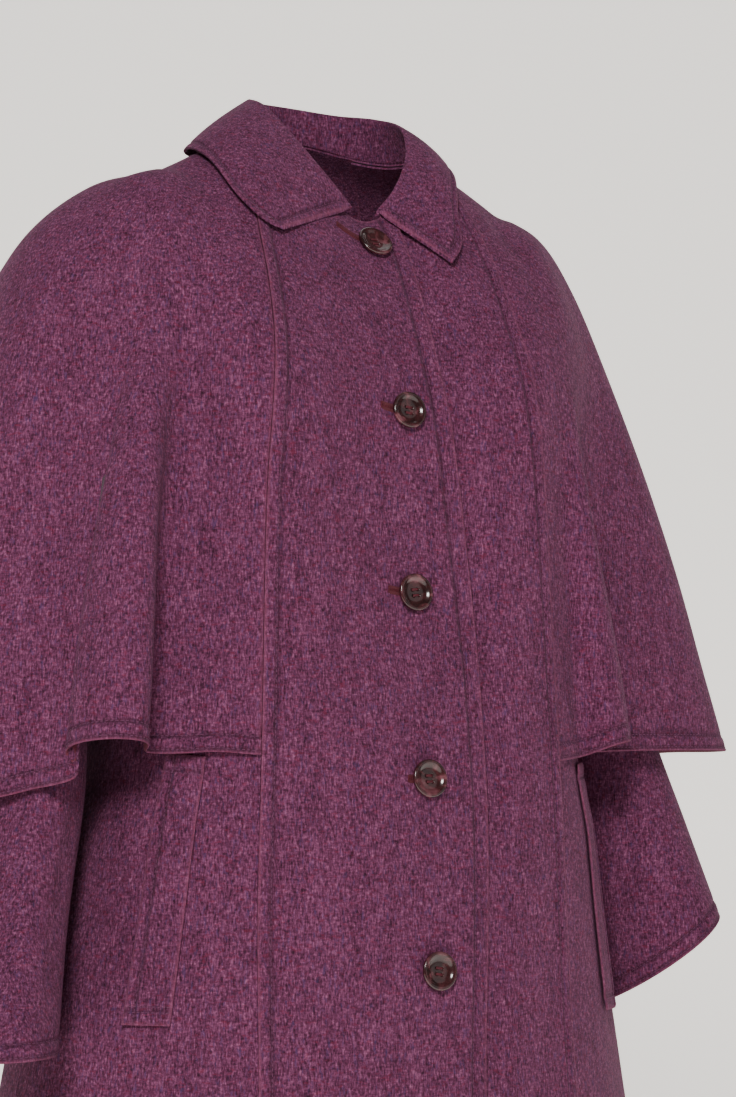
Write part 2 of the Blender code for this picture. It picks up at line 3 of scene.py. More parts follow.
import bmesh
import bpy
import numpy as np
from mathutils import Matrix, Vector


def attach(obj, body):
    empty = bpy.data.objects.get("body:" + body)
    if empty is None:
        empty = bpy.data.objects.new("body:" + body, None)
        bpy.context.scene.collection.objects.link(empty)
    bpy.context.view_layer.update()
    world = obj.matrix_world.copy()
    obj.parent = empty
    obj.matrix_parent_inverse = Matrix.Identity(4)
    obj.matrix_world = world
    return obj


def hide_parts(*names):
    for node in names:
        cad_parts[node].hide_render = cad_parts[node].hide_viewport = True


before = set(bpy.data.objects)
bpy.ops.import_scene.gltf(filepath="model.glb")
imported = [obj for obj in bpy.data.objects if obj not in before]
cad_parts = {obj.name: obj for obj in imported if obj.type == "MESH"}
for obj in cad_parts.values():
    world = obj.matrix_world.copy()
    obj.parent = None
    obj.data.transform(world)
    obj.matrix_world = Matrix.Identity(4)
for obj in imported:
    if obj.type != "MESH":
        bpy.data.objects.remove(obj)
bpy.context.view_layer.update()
rng = np.random.default_rng(11)
print("frame loaded")

cloth = 0.0025
seamGap = 0.0002
layerStep = 0.0034
weltBand = 0.011
weltRaise = 0.0012
capeHemSection = 8.75
hemSection = 13.0
buttonFacts = {"count": 6, "firstZ": -0.092, "spacing": 0.1365, "diameter": 0.028, "thickness": 0.0046}


# Named columns of one short table, as arrays
def table(columns, *rows):
    return dict(zip(columns.split(), np.array(rows, float).T))


# Rings of the coat from the neckline (s 0) over the shoulder tips (s 3), the underarms (s 6)
# and the waist (s 8) to the hem (s 13). frontY and backY are where a ring crosses the
# centre lines, and square is the power of its superellipse.
bodyRings = table(
    "s sideZ frontZ backZ halfWidth frontY backY centreY frontSquare backSquare bust",
    (0, 0.000, -0.070, 0.018, 0.075, -0.043, 0.072, 0.010, 2.0, 2.0, 0.000),
    (1, -0.017, -0.100, 0.004, 0.112, -0.064, 0.096, 0.016, 2.0, 2.0, 0.000),
    (2, -0.037, -0.145, -0.028, 0.150, -0.086, 0.118, 0.024, 2.1, 2.0, 0.000),
    (3, -0.058, -0.195, -0.075, 0.184, -0.102, 0.134, 0.036, 2.4, 2.1, 0.004),
    (4, -0.102, -0.240, -0.130, 0.192, -0.110, 0.142, 0.036, 2.8, 2.3, 0.011),
    (5, -0.155, -0.285, -0.190, 0.190, -0.112, 0.144, 0.034, 3.0, 2.4, 0.014),
    (6, -0.215, -0.330, -0.245, 0.185, -0.114, 0.140, 0.030, 3.0, 2.4, 0.014),
    (7, -0.300, -0.380, -0.315, 0.185, -0.119, 0.134, 0.026, 3.0, 2.4, 0.011),
    (8, -0.400, -0.440, -0.405, 0.190, -0.128, 0.132, 0.022, 2.9, 2.4, 0.006),
    (9, -0.500, -0.515, -0.502, 0.203, -0.138, 0.138, 0.020, 2.6, 2.4, 0.002),
    (10, -0.600, -0.605, -0.600, 0.225, -0.146, 0.148, 0.018, 2.2, 2.4, 0.000),
    (11, -0.720, -0.722, -0.720, 0.250, -0.156, 0.160, 0.016, 1.95, 2.4, 0.000),
    (12, -0.880, -0.882, -0.880, 0.274, -0.168, 0.176, 0.014, 1.95, 2.3, 0.000),
    (13, -1.058, -1.060, -1.058, 0.290, -0.182, 0.194, 0.012, 2.0, 2.2, 0.000),
)
bustAngle = math.radians(39)
bustSpread = math.radians(17)

# Distance of the princess seams from the centre line.
seamLines = table(
    "s overlap frontX backX",
    (0, 0.026, 0.070, 0.048),
    (1, 0.028, 0.090, 0.066),
    (2, 0.029, 0.101, 0.082),
    (3, 0.032, 0.106, 0.094),
    (4, 0.037, 0.111, 0.100),
    (6, 0.046, 0.119, 0.100),
    (8, 0.051, 0.124, 0.096),
    (10, 0.047, 0.130, 0.104),
    (11, 0.038, 0.132, 0.112),
    (13, 0.036, 0.148, 0.134),
)

# Armhole edge, as angles round the neck axis from the centre front.
armholeEdge = table(
    "s frontDeg backDeg",
    (3.00, 90, 90),
    (3.12, 80, 99),
    (3.40, 71, 106),
    (4.00, 64, 112),
    (4.60, 62, 114),
    (5.20, 64, 113),
    (5.70, 72, 106),
    (5.92, 81, 98),
    (6.00, 90, 90),
)

# Stand-off of the capes from the coat beyond the shoulder tips, at places along from the front
# seam (0) to the back seam (1), and the height of a section over the arm.
capePlaces = (0.0, 0.12, 0.26, 0.36, 0.55, 0.75, 1.0)
capeHeightShare = (0.0, 0.05, 0.4, 0.85, 1.0, 0.7, 0.0)
capeRight = table(
    "s sideZ front crease armFront arm armBack",
    (2, -0.037, 0.000, 0.000, 0.000, 0.000, 0.000),
    (3, -0.053, 0.001, 0.003, 0.005, 0.014, 0.007),
    (4, -0.094, 0.002, 0.006, 0.024, 0.052, 0.040),
    (5, -0.155, 0.003, 0.010, 0.050, 0.082, 0.080),
    (6, -0.235, 0.005, 0.020, 0.070, 0.109, 0.111),
    (7, -0.328, 0.007, 0.029, 0.084, 0.127, 0.131),
    (8, -0.426, 0.007, 0.032, 0.098, 0.136, 0.140),
    (9, -0.556, 0.007, 0.030, 0.100, 0.137, 0.144),
)
capeLeft = table(
    "s sideZ front crease armFront arm armBack",
    (2, -0.037, 0.000, 0.000, 0.000, 0.000, 0.000),
    (3, -0.056, 0.001, 0.001, 0.003, 0.008, 0.004),
    (4, -0.098, 0.002, 0.008, 0.018, 0.030, 0.030),
    (5, -0.165, 0.003, 0.020, 0.046, 0.064, 0.058),
    (6, -0.245, 0.004, 0.026, 0.078, 0.100, 0.082),
    (7, -0.333, 0.004, 0.028, 0.104, 0.128, 0.108),
    (8, -0.418, 0.004, 0.030, 0.122, 0.146, 0.124),
    (9, -0.488, 0.004, 0.026, 0.132, 0.155, 0.132),
)

# Flutes of the capes. along is the place between the front seam and the back seam, half the half
# width there, depth how far it stands out, lean how far its head leans to the centre front and
# overhang how far it swells over its neck, lift how much its hem rises, start where it begins.
flutesRight = table(
    "along half depth lean overhang lift start",
    (0.242, 0.060, 0.052, 0.010, 0.016, 0.016, 2.8),
    (0.560, 0.090, 0.012, 0.000, 0.000, 0.002, 4.5),
    (0.840, 0.070, 0.034, 0.000, 0.004, 0.008, 3.6),
)
flutesLeft = table(
    "along half depth lean overhang lift start",
    (0.135, 0.050, 0.036, -0.006, 0.008, 0.012, 4.2),
    (0.560, 0.090, 0.010, 0.000, 0.000, 0.002, 4.5),
    (0.830, 0.070, 0.036, 0.000, 0.004, 0.008, 3.6),
)

# Sleeve sections below the sleeve head. riseOut and riseFront lift the outer and the front
# side of a section above its centre.
sleeveRight = table(
    "z centreX centreY halfOut halfFront riseOut riseFront",
    (-0.260, 0.228, 0.046, 0.034, 0.054, 0.014, 0.000),
    (-0.380, 0.243, 0.034, 0.039, 0.060, 0.006, 0.000),
    (-0.500, 0.253, 0.012, 0.042, 0.066, 0.002, 0.000),
    (-0.600, 0.277, -0.004, 0.046, 0.072, 0.000, 0.000),
    (-0.694, 0.301, -0.030, 0.049, 0.086, -0.002, 0.002),
)
sleeveLeft = table(
    "z centreX centreY halfOut halfFront riseOut riseFront",
    (-0.270, 0.216, 0.040, 0.034, 0.054, 0.010, 0.000),
    (-0.370, 0.238, 0.036, 0.039, 0.060, 0.016, 0.003),
    (-0.470, 0.253, 0.026, 0.043, 0.066, 0.020, 0.007),
    (-0.555, 0.270, 0.014, 0.048, 0.073, 0.026, 0.013),
    (-0.641, 0.290, 0.000, 0.048, 0.079, 0.034, 0.018),
)

# Collar stations from the centre front end (q 0) to the centre back (q 1), right side. roll is
# the fold line, and the outer edge of the fall lies on the coat at edgeS and edgeDeg. The
# collar sits a little to the right: leanS and leanDeg are added there and taken off the left.
collarLine = table(
    "q neckDeg rollX rollY rollZ edgeS edgeDeg leanS leanDeg bow",
    (0.00, 13, 0.0120, -0.0455, -0.062, 1.90, 37.8, 0.12, 5.2, 0.000),
    (0.14, 28, 0.029, -0.042, -0.042, 1.90, 44.0, 0.22, 4.0, 0.002),
    (0.30, 52, 0.049, -0.026, -0.010, 1.60, 54.0, 0.40, 3.0, 0.004),
    (0.46, 80, 0.061, 0.001, 0.021, 1.14, 73.0, 0.34, 1.0, 0.004),
    (0.64, 112, 0.058, 0.036, 0.037, 0.90, 103.0, 0.16, 0.0, 0.003),
    (0.82, 145, 0.036, 0.063, 0.044, 0.84, 140.0, 0.05, 0.0, 0.003),
    (1.00, 180, 0.000, 0.072, 0.047, 0.86, 180.0, 0.00, 0.0, 0.003),
)
collarRest = 0.0044
collarFoot = 0.0020

# Pocket welt on the side front: its end sections, and the angles of its two sides there.
sleeveHead = 0.06
weltTopS, weltBottomS = 8.80, 10.64
weltTopFrom, weltTopTo = 53.5, 62.5
weltBottomFrom, weltBottomTo = 58.8, 67.5


# Cubic curve through the knots, with slopes from their neighbours
def smooth(at, knots, values):
    at = np.clip(at, knots[0], knots[-1])
    slopes = np.gradient(values, knots)
    low = np.clip(np.searchsorted(knots, at) - 1, 0, len(knots) - 2)
    step = knots[low + 1] - knots[low]
    u = (at - knots[low]) / step
    return (
        (2 * u**3 - 3 * u**2 + 1) * values[low]
        + (u**3 - 2 * u**2 + u) * step * slopes[low]
        + (3 * u**2 - 2 * u**3) * values[low + 1]
        + (u**3 - u**2) * step * slopes[low + 1]
    )


# 0 below low, 1 above high, smooth between
def ease(value, low, high):
    u = np.clip((value - low) / (high - low), 0.0, 1.0)
    return u * u * (3 - 2 * u)


# Outer face of the coat at section s and an angle from the centre front towards +X
def bodyPoint(s, angle):
    s, angle = np.broadcast_arrays(np.asarray(s, float), np.asarray(angle, float))
    at = {name: smooth(s, bodyRings["s"], values) for name, values in bodyRings.items()}
    sine, cosine = np.sin(angle), np.cos(angle)
    front = cosine > 0
    depth = np.where(front, at["centreY"] - at["frontY"], at["backY"] - at["centreY"])
    endZ = np.where(front, at["frontZ"], at["backZ"])
    power = np.where(front, at["frontSquare"], at["backSquare"])
    radius = (np.abs(cosine) / depth) ** power + (np.abs(sine) / at["halfWidth"]) ** power
    turned = np.arctan2(np.abs(sine), cosine)
    bust = at["bust"] * np.exp(-(((turned - bustAngle) / bustSpread) ** 2))
    radius = radius ** (-1 / power) + bust
    z = at["sideZ"] + (endZ - at["sideZ"]) * cosine**2
    return np.stack([radius * sine, at["centreY"] - radius * cosine, z], -1)


# Outward unit normals of a surface given as a function of section and angle
def normalsOf(surface, s, angle):
    step = 1e-3
    down = surface(s + step, angle) - surface(s - step, angle)
    across = surface(s, angle + step) - surface(s, angle - step)
    normal = np.cross(down, across)
    return normal / np.linalg.norm(normal, axis=-1, keepdims=True)


# The coat's outer face moved out by a distance along its normal
def bodyOffset(s, angle, out):
    inside = np.clip(s, 0.002, hemSection - 0.002)
    normal = normalsOf(bodyPoint, inside, angle)
    return bodyPoint(s, angle) + normal * np.asarray(out)[..., None]


# Angle at which the ring of section s is a distance x to the side of the centre line
def angleAt(s, x, front=True):
    s, x = np.broadcast_arrays(np.asarray(s, float), np.asarray(x, float))
    low = np.zeros(s.shape)
    high = np.full(s.shape, math.pi / 2)
    for _ in range(30):
        middle = (low + high) / 2
        reached = bodyPoint(s, middle if front else math.pi - middle)[..., 0] > x
        high = np.where(reached, middle, high)
        low = np.where(reached, low, middle)
    return (low + high) / 2 if front else math.pi - (low + high) / 2


def frontSeam(s):
    return angleAt(s, smooth(s, seamLines["s"], seamLines["frontX"]))


def backSeam(s):
    return angleAt(s, smooth(s, seamLines["s"], seamLines["backX"]), front=False)


# Half a seam gap, as an angle at this place
def gapAngle(s, angle):
    point = bodyPoint(s, angle)
    centre = smooth(s, bodyRings["s"], bodyRings["centreY"])
    return 0.5 * seamGap / np.hypot(point[..., 0], point[..., 1] - centre)


# Outer face of a cape at the section s of its front seam, along from front to back seam
def capePoint(side, s, along):
    s, along = np.broadcast_arrays(np.asarray(s, float), np.asarray(along, float))
    sections = capeRight if side < 0 else capeLeft
    flutes = flutesRight if side < 0 else flutesLeft
    first, last = frontSeam(s), backSeam(s)
    spread = last - first
    centre = smooth(s, bodyRings["s"], bodyRings["centreY"])
    beyond = ease(s, 1.8, 2.4)
    armZ = smooth(s, sections["s"], sections["sideZ"])
    names = (None, "front", "crease", "armFront", "arm", "armBack", None)
    radii, heights = [], []
    for place, name, share in zip(capePlaces, names, capeHeightShare):
        onBody = bodyPoint(s, side * (first + spread * place))
        radius = np.hypot(onBody[..., 0], onBody[..., 1] - centre)
        if name:
            radius = radius + beyond * smooth(s, sections["s"], sections[name])
        radii.append(radius)
        heights.append(onBody[..., 2] + beyond * share * (armZ - onBody[..., 2]))
    radius = splineColumns(along, capePlaces, radii)
    z = splineColumns(along, capePlaces, heights)
    shift = np.zeros(s.shape)
    for place, half, depth, lean, overhang, lift, start in zip(*flutes.values()):
        u = (along - place) / half
        grow = ease(s, start, capeHemSection + 0.6)
        low = ease(s, start + 2, capeHemSection)
        bump = np.exp(-(u**2) * 1.6)
        radius = radius + depth * grow * bump
        z = z + lift * low * bump
        sway = np.where(np.abs(u) < 1.5, np.sin(math.pi * u / 0.75), 0.0)
        shift = shift + low * (overhang * sway - lean * bump)
    angle = first + spread * along + shift / radius
    return np.stack([side * radius * np.sin(angle), centre - radius * np.cos(angle), z], -1)


# Cubic curve through values that are arrays, one for each knot
def splineColumns(along, knots, values):
    knots = np.asarray(knots, float)
    stack = np.stack(values, 0)
    slopes = np.gradient(stack, knots, axis=0)
    low = np.clip(np.searchsorted(knots, along) - 1, 0, len(knots) - 2)
    step = knots[low + 1] - knots[low]
    u = (along - knots[low]) / step

    def pick(array, index):
        return np.take_along_axis(array, index[None, ...], 0)[0]

    return (
        (2 * u**3 - 3 * u**2 + 1) * pick(stack, low)
        + (u**3 - 2 * u**2 + u) * step * pick(slopes, low)
        + (3 * u**2 - 2 * u**3) * pick(stack, low + 1)
        + (u**3 - u**2) * step * pick(slopes, low + 1)
    )


# Normals of a grid of points, rows down and columns round, pointing out
def gridNormals(points, closed):
    down = np.gradient(points, axis=0)
    if closed:
        across = np.roll(points, -1, axis=1) - np.roll(points, 1, axis=1)
    else:
        across = np.gradient(points, axis=1)
    normal = np.cross(down, across)
    return normal / np.linalg.norm(normal, axis=-1, keepdims=True)


# Points round an armhole from the shoulder tip by the front to the underarm and back
def armholeLoop(side, out, count):
    half = count // 2
    knots = armholeEdge["s"]
    spots = 0.5 - 0.5 * np.cos(np.linspace(0, math.pi, half + 1))
    s = knots[0] + (knots[-1] - knots[0]) * spots
    front = np.interp(s, knots, np.radians(armholeEdge["frontDeg"]))
    back = np.interp(s, knots, np.radians(armholeEdge["backDeg"]))
    sLoop = np.concatenate([s, s[-2:0:-1]])
    angle = np.concatenate([front, back[-2:0:-1]])
    return bodyOffset(sLoop, side * angle, np.full(sLoop.shape, out))


# One section of a sleeve from its outer side by the front and the inner side
def sleeveRing(side, z, count):
    sections = sleeveRight if side < 0 else sleeveLeft
    knots = -sections["z"]
    at = {name: smooth(-z, knots, values) for name, values in sections.items()}
    theta = np.linspace(0, 2 * math.pi, count, endpoint=False)
    x = at["centreX"] + at["halfOut"] * np.cos(theta)
    y = at["centreY"] - at["halfFront"] * np.sin(theta)
    height = z + at["riseOut"] * np.cos(theta) + at["riseFront"] * np.sin(theta)
    return np.stack([side * x, y, height], -1)


# Section whose centre front is at this height
def sectionAtHeight(z):
    low, high = 0.0, hemSection
    for _ in range(40):
        middle = (low + high) / 2
        if bodyPoint(middle, 0.0)[2] < z:
            high = middle
        else:
            low = middle
    return (low + high) / 2


# Shader maths as Python expressions: a wrapped socket adds Math nodes
class Sock:
    def __init__(self, tree, socket):
        self.tree = tree
        self.socket = socket

    def math(self, operation, other, swap=False):
        node = self.tree.nodes.new("ShaderNodeMath")
        node.operation = operation
        first, second = (other, self) if swap else (self, other)
        for index, value in enumerate((first, second)):
            if isinstance(value, Sock):
                self.tree.links.new(value.socket, node.inputs[index])
            elif value is not None:
                node.inputs[index].default_value = value
        return Sock(self.tree, node.outputs[0])

    def __add__(self, other): return self.math("ADD", other)
    def __radd__(self, other): return self.math("ADD", other, True)
    def __sub__(self, other): return self.math("SUBTRACT", other)
    def __rsub__(self, other): return self.math("SUBTRACT", other, True)
    def __mul__(self, other): return self.math("MULTIPLY", other)
    def __rmul__(self, other): return self.math("MULTIPLY", other, True)


# One material under way: node() adds any node from its type, settings and inputs
class Finish:
    def __init__(self, name):
        self.material = bpy.data.materials.new(name)
        self.material.use_nodes = True
        self.tree = self.material.node_tree
        self.shader = self.tree.nodes["Principled BSDF"]

    def node(self, kind, settings=None, inputs=None, out=0):
        node = self.tree.nodes.new("ShaderNode" + kind)
        for key, value in (settings or {}).items():
            if key == "stops":
                ramp = node.color_ramp
                while len(ramp.elements) < len(value):
                    ramp.elements.new(0.5)
                for element, (place, shade) in zip(ramp.elements, value):
                    element.position = place
                    element.color = (*shade, 1.0)
            else:
                setattr(node, key, value)
        for key, value in (inputs or {}).items():
            if isinstance(value, Sock):
                self.tree.links.new(value.socket, node.inputs[key])
            else:
                node.inputs[key].default_value = value
        return Sock(self.tree, node.outputs[out])

    def feed(self, key, value):
        if isinstance(value, Sock):
            self.tree.links.new(value.socket, self.shader.inputs[key])
        else:
            self.shader.inputs[key].default_value = value

    def mix(self, factor, first, second):
        inputs = {0: factor, 6: first, 7: second}
        return self.node("Mix", {"data_type": "RGBA"}, inputs, out=2)

    def noise(self, where, scale, detail, **more):
        inputs = {"Vector": where, "Scale": scale, "Detail": detail}
        inputs.update({key.title(): value for key, value in more.items()})
        return self.node("TexNoise", {}, inputs)

    def mask(self, value, low, high, most):
        inputs = {"Value": value, "From Min": low, "From Max": high, "To Max": most}
        return self.node("MapRange", {}, inputs)

    def bump(self, height, strength, distance):
        inputs = {"Strength": strength, "Distance": distance, "Height": height}
        self.feed("Normal", self.node("Bump", {}, inputs))

    def place(self, scale):
        where = self.node("TexCoord", out=3)
        return self.node("Mapping", {}, {"Vector": where, "Scale": scale})


def rgba(r, g, b):
    # sRGB bytes to a linear colour
    linear = [((c / 255 + 0.055) / 1.055) ** 2.4 if c > 10 else c / 255 / 12.92 for c in (r, g, b)]
    return (*linear, 1.0)


# Wool colours: deep, mid, lit, blue, wine and pale are fibre tones; deep is also the colour of the
# painted shade in the stitch grooves, and edge is the colour of a painted highlight along the edges
woolLook = {
    "deep": rgba(44, 17, 34),
    "mid": rgba(94, 44, 74),
    "lit": rgba(142, 82, 118),
    "blue": rgba(72, 58, 104),
    "wine": rgba(122, 24, 48),
    "pale": rgba(182, 120, 146),
    "edge": rgba(140, 74, 100),
}


# Heathered wool: short mixed fibres of plum, violet-blue and wine, with nap on top, and optionally a
# painted highlight along the edges and painted shade in the stitch grooves
def woolFinish(name, paintEdgeLightAndGrooveShade=True):
    look = woolLook
    f = Finish(name)
    hang = f.place((1.0, 1.0, 0.28))
    cross = f.place((0.45, 0.45, 1.0))
    cloudy = f.noise(hang, 70.0, 3.0, roughness=0.6)
    fibre = f.noise(hang, 820.0, 3.0, roughness=0.65)
    fibreAcross = f.noise(cross, 640.0, 3.0, roughness=0.65)
    fleck = f.noise(hang, 520.0, 2.0, roughness=0.6)
    fleckAcross = f.noise(cross, 430.0, 2.0, roughness=0.6)
    mixed = fibre * 0.56 + fibreAcross * 0.34 + cloudy * 0.10
    stops = [(0.37, look["deep"][:3]), (0.5, look["mid"][:3]), (0.65, look["lit"][:3])]
    base = f.node("ValToRGB", {"stops": stops}, {"Fac": mixed})
    blueMask = f.mask(fleck, 0.56, 0.70, 0.42)
    wineMask = f.mask(fleckAcross, 0.57, 0.70, 0.36)
    paleMask = f.mask(fibre * fibreAcross, 0.34, 0.46, 0.30)
    base = f.mix(blueMask, base, look["blue"])
    base = f.mix(wineMask, base, look["wine"])
    base = f.mix(paleMask, base, look["pale"])
    if paintEdgeLightAndGrooveShade:
        edge = f.node("Attribute", {"attribute_name": "edge"}, {}, out=2)
        press = f.node("Attribute", {"attribute_name": "press"}, {}, out=2)
        # Painted shade: the colour goes darker along the stitched rows, where the grooves fall into
        # shade
        base = f.mix(press * 0.46, base, look["deep"])
        # Painted highlight: a lighter line along the edges of the panels, where light catches the
        # rounded cloth
        base = f.mix(edge * 0.5, base, look["edge"])
    f.feed("Base Color", base)
    height = fibre * 0.6 + fibreAcross * 0.4 + cloudy * 0.5
    if paintEdgeLightAndGrooveShade:
        height = height - press * 1.1
    f.bump(height, 0.62, 0.0016)
    f.feed("Roughness", 0.94)
    f.feed("Specular IOR Level", 0.18)
    f.feed("Sheen Weight", 0.12)
    f.feed("Sheen Roughness", 0.55)
    f.feed("Sheen Tint", rgba(196, 150, 180))
    return f.material


# Woven lining or facing: a fine twill in one colour with a soft lustre
def liningFinish(name, dark, light, gloss):
    f = Finish(name)
    where = f.place((1.0, 1.0, 1.0))
    weave = f.node(
        "TexWave",
        {"wave_type": "BANDS", "bands_direction": "DIAGONAL"},
        {"Vector": where, "Scale": 420.0, "Distortion": 2.0},
    )
    cloud = f.noise(where, 60.0, 4.0)
    f.feed("Base Color", f.mix(weave * 0.4 + cloud * 0.6, dark, light))
    f.bump(weave, 0.3, 0.0004)
    f.feed("Roughness", gloss)
    return f.material


# Twisted sewing thread
def threadFinish(name, dark, light):
    f = Finish(name)
    where = f.place((1.0, 1.0, 1.0))
    twist = f.noise(where, 1400.0, 2.0)
    f.feed("Base Color", f.mix(twist, dark, light))
    f.bump(twist, 0.5, 0.0003)
    f.feed("Roughness", 0.7)
    return f.material


# Polished horn-like button: dark plum brown with pink veins
def buttonFinish(name, turn):
    f = Finish(name)
    where = f.place((1.0, 1.0, 1.0 + 0.1 * turn))
    veins = f.noise(where, 44.0, 2.0, distortion=2.0)
    fine = f.noise(where, 420.0, 3.0)
    stops = [
        (0.40, rgba(38, 13, 15)[:3]),
        (0.54, rgba(66, 28, 32)[:3]),
        (0.68, rgba(118, 66, 76)[:3]),
        (0.80, rgba(60, 24, 28)[:3]),
    ]
    f.feed("Base Color", f.node("ValToRGB", {"stops": stops}, {"Fac": veins * 0.85 + fine * 0.15}))
    f.feed("Roughness", fine * 0.16 + 0.12)
    f.feed("Coat Weight", 0.6)
    return f.material


woolPlain = woolFinish("wool")
facingRed = liningFinish("facing_wine", rgba(70, 16, 36), rgba(112, 34, 60), 0.8)
liningGrey = liningFinish("lining_grey", rgba(58, 44, 52), rgba(104, 88, 98), 0.5)
threadPlum = threadFinish("thread_plum", rgba(70, 26, 56), rgba(126, 66, 104))
threadWine = threadFinish("thread_wine", rgba(52, 8, 20), rgba(104, 22, 42))
print("finishes made")


# Lengths along a grid: distance of every point from the first and the last row, or column
def runLengths(points, axis):
    steps = np.linalg.norm(np.diff(points, axis=axis), axis=-1)
    pad = [(0, 0), (0, 0)]
    pad[axis] = (1, 0)
    fromStart = np.cumsum(np.pad(steps, pad), axis=axis)
    return fromStart, np.take(fromStart, [-1], axis=axis) - fromStart


# Closed wall between an outer and an inner grid, wound so that its faces point out.
# Faces of the inner side take slot 1, or slot 2 where lined is true.
def makeWall(name, outer, inner, materials, edge, press, closed=False, lined=None):
    rows, columns = outer.shape[:2]
    vertices = np.concatenate([outer.reshape(-1, 3), inner.reshape(-1, 3)])
    count = rows * columns
    last = columns if closed else columns - 1
    i, j = np.meshgrid(np.arange(rows - 1), np.arange(last), indexing="ij")
    i, j = i.ravel(), j.ravel()
    k = (j + 1) % columns
    out = np.stack([i * columns + j, (i + 1) * columns + j, (i + 1) * columns + k, i * columns + k], 1)
    back = out[:, ::-1] + count
    jj = np.arange(last)
    kk = (jj + 1) % columns
    low = (rows - 1) * columns
    rims = [
        np.stack([jj, kk, kk + count, jj + count], 1),
        np.stack([low + jj, low + jj + count, low + kk + count, low + kk], 1),
    ]
    if not closed:
        ii = np.arange(rows - 1) * columns
        end = columns - 1
        kk = ii + columns
        rims.append(np.stack([ii, ii + count, kk + count, kk], 1))
        rims.append(np.stack([ii + end, kk + end, kk + end + count, ii + end + count], 1))
    faces = np.concatenate([out, back, *rims])
    slots = np.zeros(len(faces), int)
    slots[len(out):2 * len(out)] = 1 if lined is None else np.where(lined[i, j], 2, 1)
    piece = makeMesh(name, vertices, faces, materials, slots)
    # Two painted attributes: a painted highlight along the edges, on the outer face only, and painted
    # shade in the stitch grooves
    for key, paintedLightAndShade in (("edge", edge), ("press", press)):
        values = np.concatenate([paintedLightAndShade.ravel(), paintedLightAndShade.ravel() * (key == "edge")]).astype(np.float32)
        layer = piece.data.attributes.new(key, "FLOAT", "POINT")
        layer.data.foreach_set("value", values)
    return piece


def makeMesh(name, vertices, faces, materials, slots=None):
    mesh = bpy.data.meshes.new(name)
    mesh.from_pydata(vertices.tolist(), [], faces.tolist())
    for material in materials:
        mesh.materials.append(material)
    if slots is not None:
        mesh.polygons.foreach_set("material_index", slots.astype(np.int32))
    mesh.shade_smooth()
    mesh.set_sharp_from_angle(angle=math.radians(60))
    return placed(name, mesh)


def placed(name, data):
    item = bpy.data.objects.new(name, data)
    bpy.context.scene.collection.objects.link(item)
    return item


# Faces between the rows of a tube
def tubeFaces(rows, columns):
    i, j = np.meshgrid(np.arange(rows - 1), np.arange(columns), indexing="ij")
    low, following = i.ravel() * columns, (j.ravel() + 1) % columns
    high, j = low + columns, j.ravel()
    return np.stack([low + j, high + j, high + following, low + following], 1)


# Faces turned outwards, after points within a distance of each other are made one
def cleaned(mesh, merge=None):
    work = bmesh.new()
    work.from_mesh(mesh)
    if merge:
        bmesh.ops.remove_doubles(work, verts=work.verts, dist=merge)
    bmesh.ops.recalc_face_normals(work, faces=work.faces)
    work.to_mesh(mesh)
    work.free()


# Point and normal at a distance inside an edge of a grid: linear between the two rows that it
# falls between. lengths is the distance of every point from that edge.
def lineInside(points, normals, lengths, distance, axis):
    if axis == 1:
        points, normals, lengths = points.transpose(1, 0, 2), normals.transpose(1, 0, 2), lengths.T
    order = np.argsort(lengths, axis=0)
    sortedLengths = np.take_along_axis(lengths, order, 0)
    upper = np.clip((sortedLengths < distance).sum(0), 1, len(lengths) - 1)
    at = np.arange(lengths.shape[1])
    a, b = order[upper - 1, at], order[upper, at]
    la, lb = lengths[a, at], lengths[b, at]
    t = ((distance - la) / np.where(lb > la, lb - la, 1))[:, None]
    return points[a, at] * (1 - t) + points[b, at] * t, normals[a, at] * (1 - t) + normals[b, at] * t


stitchLook = {"pitch": 0.0036, "length": 0.0026, "radius": 0.00034, "sides": 6}


# Stitches along a line: each is a short spindle, half sunk in the cloth
def stitchRow(line, normal, first=0.0, look=stitchLook):
    steps = np.linalg.norm(np.diff(line, axis=0), axis=1)
    run = np.concatenate([[0], np.cumsum(steps)])
    starts = np.arange(first + look["pitch"], run[-1] - look["pitch"], look["pitch"])
    rings = np.array([0.0, 0.18, 0.5, 0.82, 1.0])
    fat = np.array([0.05, 0.8, 1.0, 0.8, 0.05])
    at = starts[:, None] + look["length"] * rings
    centre = np.stack([np.interp(at, run, line[:, k]) for k in range(3)], -1)
    up = np.stack([np.interp(at, run, normal[:, k]) for k in range(3)], -1)
    up /= np.linalg.norm(up, axis=-1, keepdims=True)
    along = centre[:, -1:] - centre[:, :1]
    along = along / np.linalg.norm(along, axis=-1, keepdims=True)
    side = np.cross(along, up)
    turn = np.linspace(0, 2 * math.pi, look["sides"], endpoint=False)
    swell = (look["radius"] * fat)[None, :, None, None]
    wheel = np.cos(turn)[:, None] * side[:, :, None] + np.sin(turn)[:, None] * up[:, :, None]
    ring = centre[:, :, None] + swell * wheel
    ring = ring + up[:, :, None] * look["radius"] * 0.15
    n, m, s = ring.shape[:3]
    a, b, c = np.meshgrid(np.arange(n), np.arange(m - 1), np.arange(s), indexing="ij")
    base = a * m * s + b * s
    faces = np.stack(
        [base + c, base + (c + 1) % s, base + s + (c + 1) % s, base + s + c],
        -1,
    ).reshape(-1, 4)
    return ring.reshape(-1, 3), faces


# One piece of many small tubes, given as (points, faces)
def joined(name, rows, material):
    vertices, faces, offset = [], [], 0
    for points, quads in rows:
        vertices.append(points)
        faces.append(quads + offset)
        offset += len(points)
    return makeMesh(name, np.concatenate(vertices), np.concatenate(faces), [material])


def stitchPiece(name, rows):
    return finishPiece(joined("stitches_" + name, rows, threadPlum))


def finishPiece(piece):
    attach(piece, "root")
    return piece


napLook = {"perSquareMetre": 60000, "most": 14000, "length": 0.0022, "width": 0.00014}


